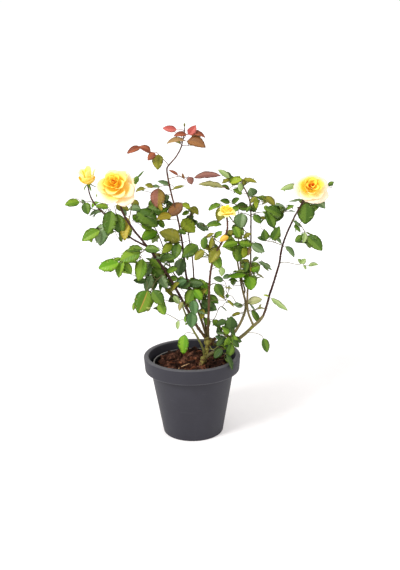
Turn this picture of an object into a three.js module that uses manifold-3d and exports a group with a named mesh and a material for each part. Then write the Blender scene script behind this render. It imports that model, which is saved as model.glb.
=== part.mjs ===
// A rose bush in its pot, in millimetres, +Z up. The origin is the middle of the pot's flat
// underside, and the front of the bush faces -Y. A grower's pot full of compost stands inside a
// wider plant pot. A short stump rises from the compost, canes grow out of it and fork, and each
// cane carries masses of leaves and, at its end, a bloom or a spray of young leaves.
import * as THREE from "three";
import { mergeVertices } from "three/addons/utils/BufferGeometryUtils.js";
import Module from "manifold-3d";

const wasm = await Module();
wasm.setup();

// ---- driving dimensions ----
const POT_HEIGHT = 209;
const POT_FOOT_RADIUS = 78;
const POT_RIM_RADIUS = 125;
const RIM_WIDTH = 13;
const BAND_HEIGHT = 39;
const BAND_TAPER = 3;
const BODY_TOP_RADIUS = 107.5;
const POT_WALL = 3;
const POT_FLOOR = 4;
const EDGE_ROUND = 3;

const GROWER_POT_TOP = 190;
const GROWER_POT_RADIUS = 99;
const GROWER_POT_FOOT_RADIUS = 72;
const GROWER_POT_WALL = 1.6;
const GROWER_POT_LIP = 2.4;

const COMPOST_TOP = 180;
const COMPOST_SINK = 4; // how far the compost drops towards the grower's pot
const GAP = 0.3; // between pieces that touch

const STUMP_FOOT = [28, -23];
const CROTCH = [43, -19, 247];
const STUMP_FOOT_RADIUS = 10;
const STUMP_RADIUS = 6.2;
const KNOB_SIZE = [13, 11, 11];

const LIMB_SIDES = 6;
const RINGS_PER_BEND = 2; // of a limb's tube, so that a ring falls on each of its bends
const MASS_DETAIL_FROM = 52; // a mass with a longer half side than this gets the finer mesh
const POT_SIDES = 32;
const INNER_SIDES = 24;
const BLOOM_SIDES = 12;
const MASS_SPACE = 1.4; // between two masses of leaves
const LUMPS = 7;
const LUMP_HEIGHT = 0.24;

// ---- finishes ----
const finish = (color, roughness) => new THREE.MeshStandardMaterial({ color, roughness, metalness: 0 });
const anthracite = finish(0x46484c, 0.55);
const blackPlastic = finish(0x16171a, 0.45);
const compostBrown = finish(0x4a2d20, 0.95);
const oldWood = finish(0x8a7a45, 0.8);
const darkBark = finish(0x3c221e, 0.55);
const youngBark = finish(0x6f7d3a, 0.5);
const leafGreen = finish(0x3f7a2a, 0.6);
const leafBronze = finish(0x9a5f3c, 0.6);
const petalYellow = finish(0xf5d24a, 0.7);
const budGreen = finish(0x6f8f38, 0.6);

// ---- solids and meshes ----
function toSolid(geometry) {
  const bare = geometry.index ? geometry.clone() : geometry;
  bare.deleteAttribute("normal");
  bare.deleteAttribute("uv");
  const merged = mergeVertices(bare, 1e-4);
  return new wasm.Manifold(
    new wasm.Mesh({
      numProp: 3,
      vertProperties: new Float32Array(merged.attributes.position.array),
      triVerts: new Uint32Array(merged.index.array),
    }),
  );
}

function toMesh(name, solid, material) {
  const { vertProperties, triVerts } = solid.getMesh();
  const geometry = new THREE.BufferGeometry();
  geometry.setAttribute("position", new THREE.BufferAttribute(new Float32Array(vertProperties), 3));
  geometry.setIndex(new THREE.BufferAttribute(new Uint32Array(triVerts), 1));
  geometry.computeVertexNormals();
  const mesh = new THREE.Mesh(geometry, material);
  mesh.name = name;
  return mesh;
}

const largest = (solid) => solid.decompose().reduce((a, b) => (a.volume() > b.volume() ? a : b));

function boxesMeet(a, b) {
  const [p, q] = [a.boundingBox(), b.boundingBox()];
  return [0, 1, 2].every((i) => p.min[i] < q.max[i] && q.min[i] < p.max[i]);
}

const cutAll = (solid, cutters) =>
  largest(cutters.filter((c) => boxesMeet(solid, c)).reduce((rest, c) => rest.subtract(c), solid));

function turned(profile, segments) {
  const points = profile.map(([radius, height]) => new THREE.Vector2(radius, height));
  const geometry = new THREE.LatheGeometry(points, segments);
  return toSolid(geometry.rotateX(Math.PI / 2));
}

function seeded(seed) {
  let state = seed >>> 0;
  return () => {
    state = (state + 0x6d2b79f5) >>> 0;
    let mixed = Math.imul(state ^ (state >>> 15), 1 | state);
    mixed = (mixed + Math.imul(mixed ^ (mixed >>> 7), 61 | mixed)) ^ mixed;
    return ((mixed ^ (mixed >>> 14)) >>> 0) / 4294967296;
  };
}

// ---- pots and compost ----
function potSolid() {
  const bandFoot = POT_HEIGHT - BAND_HEIGHT;
  const rimInner = POT_RIM_RADIUS - RIM_WIDTH;
  const bandRadius = POT_RIM_RADIUS - BAND_TAPER;
  const innerAtBand = BODY_TOP_RADIUS - POT_WALL;
  return turned(
    [
      [0, 0],
      [POT_FOOT_RADIUS - EDGE_ROUND, 0],
      [POT_FOOT_RADIUS, EDGE_ROUND],
      [BODY_TOP_RADIUS, bandFoot + 1],
      [bandRadius - EDGE_ROUND / 2, bandFoot],
      [bandRadius, bandFoot + EDGE_ROUND / 2],
      [POT_RIM_RADIUS, POT_HEIGHT - EDGE_ROUND],
      [POT_RIM_RADIUS - EDGE_ROUND, POT_HEIGHT],
      [rimInner + EDGE_ROUND, POT_HEIGHT],
      [rimInner, POT_HEIGHT - EDGE_ROUND],
      [innerAtBand, bandFoot - POT_WALL],
      [POT_FOOT_RADIUS - POT_WALL, POT_FLOOR],
      [0, POT_FLOOR],
    ],
    POT_SIDES,
  );
}

function growerPotSolid() {
  const foot = POT_FLOOR + GAP;
  const wall = GROWER_POT_WALL;
  return turned(
    [
      [0, foot],
      [GROWER_POT_FOOT_RADIUS, foot],
      [GROWER_POT_RADIUS, GROWER_POT_TOP - GROWER_POT_LIP],
      [GROWER_POT_RADIUS + GROWER_POT_LIP, GROWER_POT_TOP - GROWER_POT_LIP],
      [GROWER_POT_RADIUS + GROWER_POT_LIP, GROWER_POT_TOP],
      [GROWER_POT_RADIUS - wall, GROWER_POT_TOP],
      [GROWER_POT_FOOT_RADIUS - wall, foot + wall],
      [0, foot + wall],
    ],
    INNER_SIDES,
  );
}

function compostSolid() {
  const foot = POT_FLOOR + GROWER_POT_WALL + 2 * GAP;
  const slope = (GROWER_POT_RADIUS - GROWER_POT_FOOT_RADIUS) / (GROWER_POT_TOP - POT_FLOOR);
  const inner = GROWER_POT_FOOT_RADIUS - GROWER_POT_WALL - 2 * GAP;
  const edge = COMPOST_TOP - COMPOST_SINK;
  return turned(
    [
      [0, foot],
      [inner, foot],
      [inner + slope * (edge - foot), edge],
      [inner + slope * (edge - foot) - 14, COMPOST_TOP],
      [0, COMPOST_TOP],
    ],
    INNER_SIDES,
  );
}

// ---- limbs: a tapered tube bent onto a smooth curve ----
function curveOf(points) {
  const vectors = points.map((p) => new THREE.Vector3(...p));
  return new THREE.CatmullRomCurve3(vectors, false, "centripetal");
}

function fractionAtHeight(curve, height) {
  let [low, high] = [0, 1];
  for (let step = 0; step < 40; step += 1) {
    const middle = (low + high) / 2;
    if (curve.getPoint(middle).z < height) low = middle;
    else high = middle;
  }
  return low;
}

function ringFractions(curve) {
  const rings = RINGS_PER_BEND * (curve.points.length - 1);
  return Array.from({ length: rings + 1 }, (_, ring) => ring / rings);
}

// The tube has a ring at each of the given fractions of the curve.
function tubeSolid(curve, radiusAt, grow, fractions = ringFractions(curve)) {
  const rings = fractions.length - 1;
  const geometry = new THREE.CylinderGeometry(1, 1, 1, LIMB_SIDES, rings);
  const position = geometry.attributes.position;
  for (let i = 0; i < position.count; i += 1) {
    const along = fractions[Math.round((position.getY(i) + 0.5) * rings)];
    const { side, front } = crossAxes(curve, along);
    const radius = radiusAt(along) + grow;
    const place = curve.getPoint(along);
    place.addScaledVector(side, position.getX(i) * radius);
    place.addScaledVector(front, position.getZ(i) * radius);
    position.setXYZ(i, place.x, place.y, place.z);
  }
  return toSolid(geometry);
}

// Two directions square to the curve, the front one as near to +Y as it can be.
function crossAxes(curve, along) {
  const tangent = curve.getTangent(along);
  const side = new THREE.Vector3().crossVectors(tangent, new THREE.Vector3(0, 1, 0)).normalize();
  return { side, front: new THREE.Vector3().crossVectors(side, tangent) };
}

function knobSolid(grow) {
  const geometry = new THREE.IcosahedronGeometry(1, 1);
  geometry.scale(KNOB_SIZE[0] + grow, KNOB_SIZE[1] + grow, KNOB_SIZE[2] + grow);
  geometry.translate(...CROTCH);
  return toSolid(geometry);
}

const stumpCurve = curveOf([
  [...STUMP_FOOT, COMPOST_TOP - 20],
  [...STUMP_FOOT, COMPOST_TOP],
  [STUMP_FOOT[0] + 4, STUMP_FOOT[1] + 1, COMPOST_TOP + 24],
  CROTCH,
]);

function stumpSolid(grow) {
  const flare = (along) => (STUMP_FOOT_RADIUS - STUMP_RADIUS) * Math.exp(-(((along - 0.2) * 5) ** 2));
  const stem = tubeSolid(stumpCurve, (along) => STUMP_RADIUS + flare(along), grow);
  const below = new THREE.BoxGeometry(100, 100, 40);
  below.translate(...STUMP_FOOT, COMPOST_TOP + GAP - grow - 20);
  return stem.add(knobSolid(grow)).subtract(toSolid(below));
}

// Each limb leaves its parent at a height, bends through the points given, and tapers from its
// foot to its tip. A limb with splitAtBend is two solids that meet at that bend, beside a wide gap.
const limbPlan = [
  { name: "left_cane", from: "stump", height: 246, foot: 3.6, tip: 1.9,
    bends: [[12, -27, 296], [-35, -42, 392], [-74, -56, 465], [-117, -68, 528], [-158, -76, 594],
      [-166, -66, 643]] },
  { name: "left_fork_cane", from: "left_cane", height: 508, foot: 2.2, tip: 1.6,
    bends: [[-147, -52, 531], [-206, -20, 580], [-240, 5, 615], [-251, 24, 652]] },
  { name: "tall_cane", from: "stump", height: 247, foot: 3.1, tip: 1.2,
    bends: [[22, 2, 309], [-10, 30, 404], [-18, 45, 480], [-30, 58, 555], [-55, 64, 677], [-47, 61, 699],
      [-13, 50, 748], [-8, 44, 776]] },
  { name: "inner_left_cane", from: "stump", height: 247, foot: 2.5, tip: 1.2,
    bends: [[30, 22, 312], [10, 62, 384], [6, 85, 440], [-4, 110, 514], [2, 120, 552]] },
  { name: "inner_thin_cane", from: "tall_cane", height: 380, foot: 1.7, tip: 1.1,
    bends: [[-41, 45, 409], [-64, 70, 459], [-89, 92, 523], [-122, 98, 556]] },
  { name: "green_cane", from: "stump", height: 208, foot: 2.9, tip: 1.7,
    bends: [[24, -34, 245], [-3, -66, 309], [-16, -86, 348], [-20, -94, 362]] },
  { name: "middle_cane", from: "stump", height: 244, foot: 2.9, tip: 1.7,
    bends: [[42, -26, 298], [45, -34, 360], [49, -46, 438], [62, -56, 486], [90, -66, 544], [89, -67, 585]] },
  { name: "right_inner_cane", from: "stump", height: 232, foot: 3.6, tip: 1.5,
    bends: [[75, -10, 242], [103, 0, 256], [131, 18, 294], [142, 30, 329], [134, 42, 364], [125, 54, 417],
      [116, 62, 480]] },
  { name: "right_back_cane", from: "right_inner_cane", height: 329, foot: 2.3, tip: 1.2,
    bends: [[142, 46, 360], [135, 66, 383], [132, 92, 417], [130, 122, 475], [127, 130, 500]] },
  { name: "right_cane", from: "stump", height: 216, foot: 3.8, tip: 1.8, splitAtBend: 4,
    bends: [[70, -24, 225], [127, -14, 258], [160, 0, 283], [184, 2, 308], [200, 0, 366], [221, -12, 443],
      [229, -18, 496], [254, -24, 561], [295, -14, 633]] },
  { name: "right_tall_cane", from: "right_cane", height: 283, foot: 2.3, tip: 1.3,
    bends: [[146, 6, 313], [144, 10, 345], [145, 18, 373], [153, 34, 408], [156, 56, 464], [158, 78, 551],
      [155, 84, 597], [140, 84, 628]] },
  { name: "left_middle_shoot", from: "left_cane", height: 506, foot: 1.3, tip: 0.9,
    bends: [[-117, -80, 497], [-140, -90, 484]] },
  { name: "left_lower_shoot", from: "left_cane", height: 437, foot: 1.3, tip: 0.9,
    bends: [[-85, -66, 424], [-99, -80, 395]] },
  { name: "bronze_left_stalk", from: "tall_cane", height: 690, foot: 0.9, tip: 0.7,
    bends: [[-64, 54, 707], [-80, 46, 713]] },
  { name: "bronze_right_stalk", from: "tall_cane", height: 652, foot: 0.9, tip: 0.7,
    bends: [[-30, 48, 662], [-4, 34, 660]] },
  { name: "right_outer_shoot", from: "right_tall_cane", height: 556, foot: 1.1, tip: 0.8,
    bends: [[180, 52, 568], [200, 36, 568]] },
  { name: "right_pair_stalk", from: "right_cane", height: 494, foot: 1.0, tip: 0.8,
    bends: [[212, 2, 499], [196, 13, 500]] },
  { name: "right_side_stalk", from: "right_cane", height: 555, foot: 1.0, tip: 0.8,
    bends: [[266, -40, 556], [276, -48, 540]] },
  { name: "low_right_shoot", from: "stump", height: 222, foot: 1.6, tip: 1.0,
    bends: [[62, -44, 240], [86, -58, 280]] },
  { name: "bud_stalk", from: "left_cane", height: 570, foot: 1.2, tip: 0.8,
    bends: [[-136, -54, 612], [-127, -50, 656]] },
];

const limbBark = { green_cane: youngBark, right_inner_cane: youngBark, low_right_shoot: youngBark };

function stretchesOf({ name, splitAtBend }, curve) {
  const fractions = ringFractions(curve);
  if (splitAtBend === undefined) return [[name, fractions]];
  const split = splitAtBend * RINGS_PER_BEND;
  const gap = GAP / curve.getLength();
  return [
    [`${name}_foot`, [...fractions.slice(0, split), fractions[split] - gap]],
    [name, fractions.slice(split)],
  ];
}

function growLimbs() {
  const curves = { stump: stumpCurve };
  const solids = { stump: stumpSolid(0) };
  const cutters = [stumpSolid(GAP)];
  for (const limb of limbPlan) {
    const { name, from, height, foot, tip, bends } = limb;
    const start = curves[from].getPoint(fractionAtHeight(curves[from], height));
    const curve = curveOf([start.toArray(), ...bends]);
    const radiusAt = (along) => foot + (tip - foot) * along;
    const stretches = stretchesOf(limb, curve);
    for (const [piece, fractions] of stretches) {
      solids[piece] = cutAll(tubeSolid(curve, radiusAt, 0, fractions), cutters);
    }
    for (const [, fractions] of stretches) cutters.push(tubeSolid(curve, radiusAt, GAP, fractions));
    curves[name] = curve;
  }
  return { solids, cutters };
}

// ---- blooms: an open cup of petals, turned about the way it faces ----
const bloomPlan = [
  { name: "main_bloom", at: [-168, -84, 653], facing: [-0.12, -0.9, 0.42], radius: 47, depth: 46 },
  { name: "far_left_bloom", at: [-253, 19, 672], facing: [-0.1, -0.3, 0.95], radius: 25, depth: 46 },
  { name: "right_bloom", at: [297, -30, 641], facing: [0.02, -0.93, 0.36], radius: 36, depth: 38 },
  { name: "small_bloom", at: [89, -72, 595], facing: [0, -0.35, 0.94], radius: 20, depth: 26 },
];
// Each point is a share of the radius, then of the depth, from the calyx to the heart.
const BLOOM_PROFILE = [
  [0, -0.5],
  [0.16, -0.48],
  [0.62, -0.3],
  [1, 0.05],
  [0.88, 0.36],
  [0.46, 0.48],
  [0, 0.5],
];

function bloomSolid({ at, facing, radius, depth }, grow) {
  const [wide, deep] = [radius + grow, depth + 2 * grow];
  const points = BLOOM_PROFILE.map(([out, up]) => new THREE.Vector2(out * wide, up * deep));
  const geometry = new THREE.LatheGeometry(points, BLOOM_SIDES);
  const axis = new THREE.Vector3(...facing).normalize();
  geometry.applyQuaternion(new THREE.Quaternion().setFromUnitVectors(new THREE.Vector3(0, 1, 0), axis));
  geometry.translate(...at);
  return toSolid(geometry);
}

// ---- masses of leaves: lumpy closed solids, cut round the limbs and blooms they meet ----
const massPlan = [
  { name: "far_left_leaves", at: [-256, 8, 597], half: [49, 30, 24] },
  { name: "left_upper_leaves", at: [-201, -38, 553], half: [60, 40, 40] },
  { name: "left_middle_leaves", at: [-160, -90, 468], half: [58, 38, 40] },
  { name: "left_inner_leaves", at: [-97, -40, 423], half: [38, 34, 42] },
  { name: "left_lower_leaves", at: [-101, -82, 368], half: [40, 30, 32] },
  { name: "left_top_leaves", at: [-107, 88, 545], half: [44, 40, 50] },
  { name: "tall_middle_leaves", at: [-58, 60, 592], half: [40, 30, 44] },
  { name: "crown_tip_leaves", at: [-11, 46, 765], half: [46, 36, 31], tint: leafBronze },
  { name: "bronze_left_leaves", at: [-106, 40, 713], half: [44, 22, 27], tint: leafBronze },
  { name: "bronze_right_leaves", at: [20, 30, 660], half: [62, 22, 24], tint: leafBronze },
  { name: "inner_top_leaves", at: [2, 115, 545], half: [26, 34, 42] },
  { name: "centre_leaves", at: [-25, 28, 484], half: [50, 40, 40] },
  { name: "low_centre_leaves", at: [8, -12, 378], half: [46, 36, 34] },
  { name: "front_leaves", at: [-6, -98, 345], half: [28, 22, 36] },
  { name: "middle_leaves", at: [50, -50, 489], half: [32, 32, 38] },
  { name: "right_top_leaves", at: [122, 84, 641], half: [46, 34, 28] },
  { name: "right_upper_leaves", at: [140, 76, 588], half: [60, 42, 24] },
  { name: "right_middle_leaves", at: [118, 50, 508], half: [38, 36, 48] },
  { name: "right_outer_leaves", at: [216, 28, 565], half: [46, 28, 26] },
  { name: "right_pair_leaves", at: [190, 14, 506], half: [34, 22, 30] },
  { name: "right_low_leaves", at: [150, 32, 411], half: [48, 38, 32] },
  { name: "right_base_leaves", at: [143, 22, 322], half: [32, 26, 26] },
  { name: "right_bloom_leaves", at: [293, -6, 607], half: [68, 18, 46] },
  { name: "right_side_leaves", at: [283, -48, 530], half: [38, 24, 32] },
  { name: "low_right_leaves", at: [90, -58, 264], half: [34, 30, 46] },
  { name: "back_left_leaves", at: [-84, 86, 430], half: [44, 40, 42] },
  { name: "back_centre_leaves", at: [14, 80, 362], half: [42, 38, 34] },
  { name: "back_right_leaves", at: [131, 142, 478], half: [40, 36, 44] },
  { name: "back_low_leaves", at: [146, 112, 394], half: [38, 34, 34] },
];
const BUD = { name: "bud", at: [-126, -50, 668], half: [8, 8, 11] };

// The lumps push the ball outwards about a few seeded directions. The result is then fitted
// to its stated half sizes, so a mass reaches exactly as far as its leaves do.
function lumpySolid({ at, half }, seed, grow) {
  const random = seeded(seed);
  const detail = Math.max(...half) > MASS_DETAIL_FROM ? 2 : 1;
  const geometry = new THREE.IcosahedronGeometry(1, detail);
  const directions = Array.from({ length: LUMPS }, () =>
    new THREE.Vector3(random() - 0.5, random() - 0.5, random() - 0.5).normalize(),
  );
  const position = geometry.attributes.position;
  const point = new THREE.Vector3();
  for (let i = 0; i < position.count; i += 1) {
    point.fromBufferAttribute(position, i);
    const pushes = directions.map((d) => Math.max(0, point.dot(d)) ** 5);
    point.multiplyScalar(1 + LUMP_HEIGHT * pushes.reduce((a, b) => a + b));
    position.setXYZ(i, point.x, point.y, point.z);
  }
  geometry.computeBoundingBox();
  const size = geometry.boundingBox.getSize(new THREE.Vector3()).toArray();
  const middle = geometry.boundingBox.getCenter(new THREE.Vector3());
  geometry.translate(-middle.x, -middle.y, -middle.z);
  geometry.scale(...half.map((h, i) => (2 * (h + grow)) / size[i]));
  geometry.translate(...at);
  return toSolid(geometry);
}

// ---- the whole plant ----
function build() {
  const group = new THREE.Group();
  group.add(toMesh("pot", potSolid(), anthracite));
  group.add(toMesh("growers_pot", growerPotSolid(), blackPlastic));
  group.add(toMesh("compost", compostSolid(), compostBrown));

  const { solids, cutters: around } = growLimbs();
  for (const [name, solid] of Object.entries(solids)) {
    group.add(toMesh(name, solid, name === "stump" ? oldWood : limbBark[name] ?? darkBark));
  }
  for (const bloom of bloomPlan) {
    group.add(toMesh(bloom.name, cutAll(bloomSolid(bloom, 0), around), petalYellow));
    around.push(bloomSolid(bloom, GAP));
  }
  group.add(toMesh(BUD.name, cutAll(lumpySolid(BUD, 1, 0), around), budGreen));
  around.push(lumpySolid(BUD, 1, GAP));
  massPlan.forEach((mass, index) => {
    const solid = cutAll(lumpySolid(mass, index + 11, 0), around);
    group.add(toMesh(mass.name, solid, mass.tint ?? leafGreen));
    around.push(lumpySolid(mass, index + 11, MASS_SPACE));
  });
  return group;
}

export default build();
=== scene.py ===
# %% [markdown]
# # A yellow rose bush in its pot
#
# This notebook dresses a rose bush that is already worked out as plain solids: a pot, a stump,
# canes, lumps that stand for masses of leaves, and cups that stand for blooms. Each solid keeps
# its place and size, and here it gets what the eye expects: bark with prickles, some hundreds of
# toothed leaflets, petals that roll back at the lip, and compost made of real chips of bark.
#
# Everything is in metres. Places come from the solids, so a cane that is moved there takes its
# bark, twigs, leaves and bloom with it here.

# %% The frame
import math
import bmesh
import bpy
import numpy as np
from mathutils import Matrix, Vector, noise


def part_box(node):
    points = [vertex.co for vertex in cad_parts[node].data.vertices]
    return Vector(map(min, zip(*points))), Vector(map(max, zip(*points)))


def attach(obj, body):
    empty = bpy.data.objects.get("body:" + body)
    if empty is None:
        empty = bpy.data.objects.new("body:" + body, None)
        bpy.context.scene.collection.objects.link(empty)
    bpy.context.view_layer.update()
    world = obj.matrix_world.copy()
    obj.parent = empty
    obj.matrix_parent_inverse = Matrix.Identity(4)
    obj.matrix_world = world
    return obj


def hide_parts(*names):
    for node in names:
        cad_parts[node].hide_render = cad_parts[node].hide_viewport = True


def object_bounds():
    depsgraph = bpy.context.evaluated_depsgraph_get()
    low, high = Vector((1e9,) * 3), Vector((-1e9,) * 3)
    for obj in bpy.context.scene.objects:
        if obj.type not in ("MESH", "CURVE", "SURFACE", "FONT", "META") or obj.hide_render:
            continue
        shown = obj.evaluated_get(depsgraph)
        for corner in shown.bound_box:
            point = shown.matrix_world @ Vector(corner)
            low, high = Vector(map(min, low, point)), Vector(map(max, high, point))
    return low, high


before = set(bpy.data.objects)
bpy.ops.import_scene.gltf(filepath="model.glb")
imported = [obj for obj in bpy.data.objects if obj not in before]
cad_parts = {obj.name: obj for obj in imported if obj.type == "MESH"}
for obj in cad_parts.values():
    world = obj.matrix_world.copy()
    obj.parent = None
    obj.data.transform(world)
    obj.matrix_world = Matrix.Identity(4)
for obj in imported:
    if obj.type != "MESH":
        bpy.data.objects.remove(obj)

MM = 0.001
noise.seed_set(7)        # the wood's small bends come from this, so each run grows the same plant
cad_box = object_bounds()
print("solids:", len(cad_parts), "box:", [tuple(round(v, 3) for v in corner) for corner in cad_box])

# %% [markdown]
# ## Where the viewer stands
#
# The bush is looked at from a little above, from about two metres away, which is how a plant in
# a shop is seen. A lens of 50 mm on a full-size sensor gives that view without bending the pot's
# straight sides. The camera's axes are worked out from three angles, because then each one says
# something plain: how far it looks down, how far it turns, and how far it leans.

# %% The camera
CAMERA_AT = Vector((0, -1.938, 0.908))
LOOK_DOWN = math.radians(14.88)
TURN = math.radians(-0.69)
LEAN = math.radians(-0.92)
LENS = 50.1
SENSOR = 36


def make_camera():
    ahead = Vector((-math.sin(TURN) * math.cos(LOOK_DOWN), math.cos(TURN) * math.cos(LOOK_DOWN),
                    -math.sin(LOOK_DOWN)))
    level = Vector((math.cos(TURN), math.sin(TURN), 0))
    above = level.cross(ahead)
    right = level * math.cos(LEAN) + above * math.sin(LEAN)
    up = -level * math.sin(LEAN) + above * math.cos(LEAN)
    data = bpy.data.cameras.new("camera")
    data.lens = LENS
    data.sensor_width = SENSOR
    camera = bpy.data.objects.new("camera", data)
    bpy.context.scene.collection.objects.link(camera)
    camera.location = CAMERA_AT
    camera.rotation_mode = "QUATERNION"
    turned = np.array([right, up, -ahead]).T
    camera.rotation_quaternion = Matrix(turned.tolist()).to_quaternion()
    bpy.context.scene.camera = camera
    return camera


camera = make_camera()
print("camera looks along", tuple(round(v, 3) for v in camera.rotation_quaternion @ Vector((0, 0, -1))))

# %% [markdown]
# ## Shader maths that reads like maths
#
# A material is a graph, and a graph built by hand is hard to read in a script. Two small classes
# mend that. `Value` wraps a socket, so that `grain * 0.3 + 0.5` adds the Math nodes it needs.
# `Finish` is one material: it makes any node from its type, its settings and its inputs, and
# keeps the few recipes that come up again, such as a noise, a ramp of colours and a bump.

# %% Value and Finish
class Value:
    """A socket of a material, which sums and products can be written with."""

    def __init__(self, finish, socket):
        self.finish = finish
        self.socket = socket

    def __add__(self, other):
        return self.finish.maths("ADD", self, other)

    def __sub__(self, other):
        return self.finish.maths("SUBTRACT", self, other)

    def __rsub__(self, other):
        return self.finish.maths("SUBTRACT", other, self)

    def __mul__(self, other):
        return self.finish.maths("MULTIPLY", self, other)

    __radd__ = __add__
    __rmul__ = __mul__

    def power(self, other):
        return self.finish.maths("POWER", self, other)

    def clamped(self):
        return self.finish.node("ShaderNodeClamp", inputs={"Value": self})


class Finish:
    """One material: its shader, and the nodes that feed it."""

    def __init__(self, name, color=(0.8, 0.8, 0.8), roughness=0.5, **constants):
        self.material = bpy.data.materials.new(name)
        self.material.use_nodes = True
        self.tree = self.material.node_tree
        self.shader = self.tree.nodes["Principled BSDF"]
        self.shader.inputs["Base Color"].default_value = (*color, 1)
        self.shader.inputs["Roughness"].default_value = roughness
        self.material.diffuse_color = (*color, 1)
        for key, value in constants.items():
            self.shader.inputs[key.replace("_", " ")].default_value = value

    def feed(self, socket, value):
        if isinstance(value, Value):
            self.tree.links.new(value.socket, socket)
        elif value is not None:
            plain_rgb = socket.type == "RGBA" and len(value) == 3
            socket.default_value = (*value, 1) if plain_rgb else value

    def node(self, kind, settings=None, inputs=None, output=0):
        made = self.tree.nodes.new(kind)
        for key, value in (settings or {}).items():
            setattr(made, key, value)
        for key, value in (inputs or {}).items():
            self.feed(made.inputs[key], value)
        return Value(self, made.outputs[output])

    def maths(self, operation, first, second=None):
        return self.node("ShaderNodeMath", {"operation": operation}, {0: first, 1: second})

    def place(self, stretch=(1, 1, 1)):
        """Object coordinates, stretched along each axis."""
        at = self.node("ShaderNodeTexCoord", output="Object")
        return self.node("ShaderNodeMapping", inputs={"Vector": at, "Scale": stretch})

    def part(self, vector, axis):
        """One coordinate of a place."""
        return self.node("ShaderNodeSeparateXYZ", inputs={"Vector": vector}, output=axis)

    def attribute(self, name):
        return self.node("ShaderNodeAttribute", {"attribute_name": name}, output="Fac")

    def noise(self, at, scale, detail=3.0, rough=0.55):
        return self.node("ShaderNodeTexNoise", inputs={"Vector": at, "Scale": scale, "Detail": detail,
                                                       "Roughness": rough})

    def ramp(self, value, *stops):
        """Colours along a value; each stop is a position and a colour."""
        made = self.tree.nodes.new("ShaderNodeValToRGB")
        while len(made.color_ramp.elements) < len(stops):
            made.color_ramp.elements.new(0.5)
        for element, (position, color) in zip(made.color_ramp.elements, stops):
            element.position = position
            element.color = (*color, 1)
        self.feed(made.inputs["Fac"], value)
        return Value(self, made.outputs["Color"])

    def mix(self, share, first, second, blend="MIX"):
        """Two colours mixed, or blended, by a share."""
        settings = {"data_type": "RGBA", "blend_type": blend}
        return self.node("ShaderNodeMix", settings, {0: share, 6: first, 7: second}, output=2)

    def tint(self, level):
        """A grey of some level, to multiply a colour by."""
        return self.node("ShaderNodeCombineColor", inputs={"Red": level, "Green": level, "Blue": level})

    def within(self, value, low, high, from_low=0.0, from_high=1.0):
        inputs = {"Value": value, "From Min": from_low, "From Max": from_high, "To Min": low, "To Max": high}
        return self.node("ShaderNodeMapRange", inputs=inputs)

    def bump(self, height, depth, strength=1.0, under=None):
        inputs = {"Height": height, "Distance": depth, "Strength": strength, "Normal": under}
        return self.node("ShaderNodeBump", inputs=inputs)

    def set(self, **sockets):
        for key, value in sockets.items():
            self.feed(self.shader.inputs[key.replace("_", " ")], value)
        return self.material


def srgb(red, green, blue):
    """A colour given as on a screen, 0 to 255, in the linear values that shaders take."""
    def linear(value):
        share = value / 255
        return share / 12.92 if share <= 0.04045 else ((share + 0.055) / 1.055) ** 2.4
    return linear(red), linear(green), linear(blue)


print("white comes out as", srgb(255, 255, 255))

# %% [markdown]
# ## Light and floor
#
# A plant shot for a catalogue stands on white paper in soft light, with one large lamp high on
# the left. The paper here is a wide white sheet that also glows a little, so that the shadow to
# the right of the pot stays a faint grey. The sky is white all round, which gives the leaves
# their pale sheen, and the lamp is a big panel, because only a big lamp gives soft edges.

# %% Lamps, sky and floor
KEY_SIZE = 1.1
KEY_POWER = 60.0
FILL_SIZE = 1.4
FILL_POWER = 9.0
SKY_LIGHT = 0.8
SKY_SEEN = 1.02
FLOOR_SIZE = 30.0
FLOOR_GLOW = 0.6
FLOOR_DROP = 0.4 * MM    # the paper lies this far under the pot
# Near the pot the paper glows less, and pinkish: painted shade, so that the pot's shadow there stays a
# pinkish grey.
GLOW_NEAR = (0.42, 0.395, 0.395)
GLOW_AS_LIGHT = (0.07, 0.07, 0.07)


def make_lamp(name, at, toward, size, power):
    data = bpy.data.lights.new(name, "AREA")
    data.shape = "DISK"
    data.size = size
    data.energy = power
    lamp = bpy.data.objects.new(name, data)
    bpy.context.scene.collection.objects.link(lamp)
    lamp.location = at
    lamp.rotation_mode = "QUATERNION"
    lamp.rotation_quaternion = (Vector(toward) - Vector(at)).to_track_quat("-Z", "Y")


def make_sky():
    """White to the eye, and dimmer as a source of light."""
    world = bpy.data.worlds.new("white studio")
    bpy.context.scene.world = world
    world.use_nodes = True
    nodes = world.node_tree.nodes
    sky = nodes["Background"]
    sky.inputs["Color"].default_value = (1, 1, 1, 1)
    path = nodes.new("ShaderNodeLightPath")
    share = nodes.new("ShaderNodeMapRange")
    share.inputs["To Min"].default_value = SKY_LIGHT
    share.inputs["To Max"].default_value = SKY_SEEN
    world.node_tree.links.new(path.outputs["Is Camera Ray"], share.inputs["Value"])
    world.node_tree.links.new(share.outputs["Result"], sky.inputs["Strength"])


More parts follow.
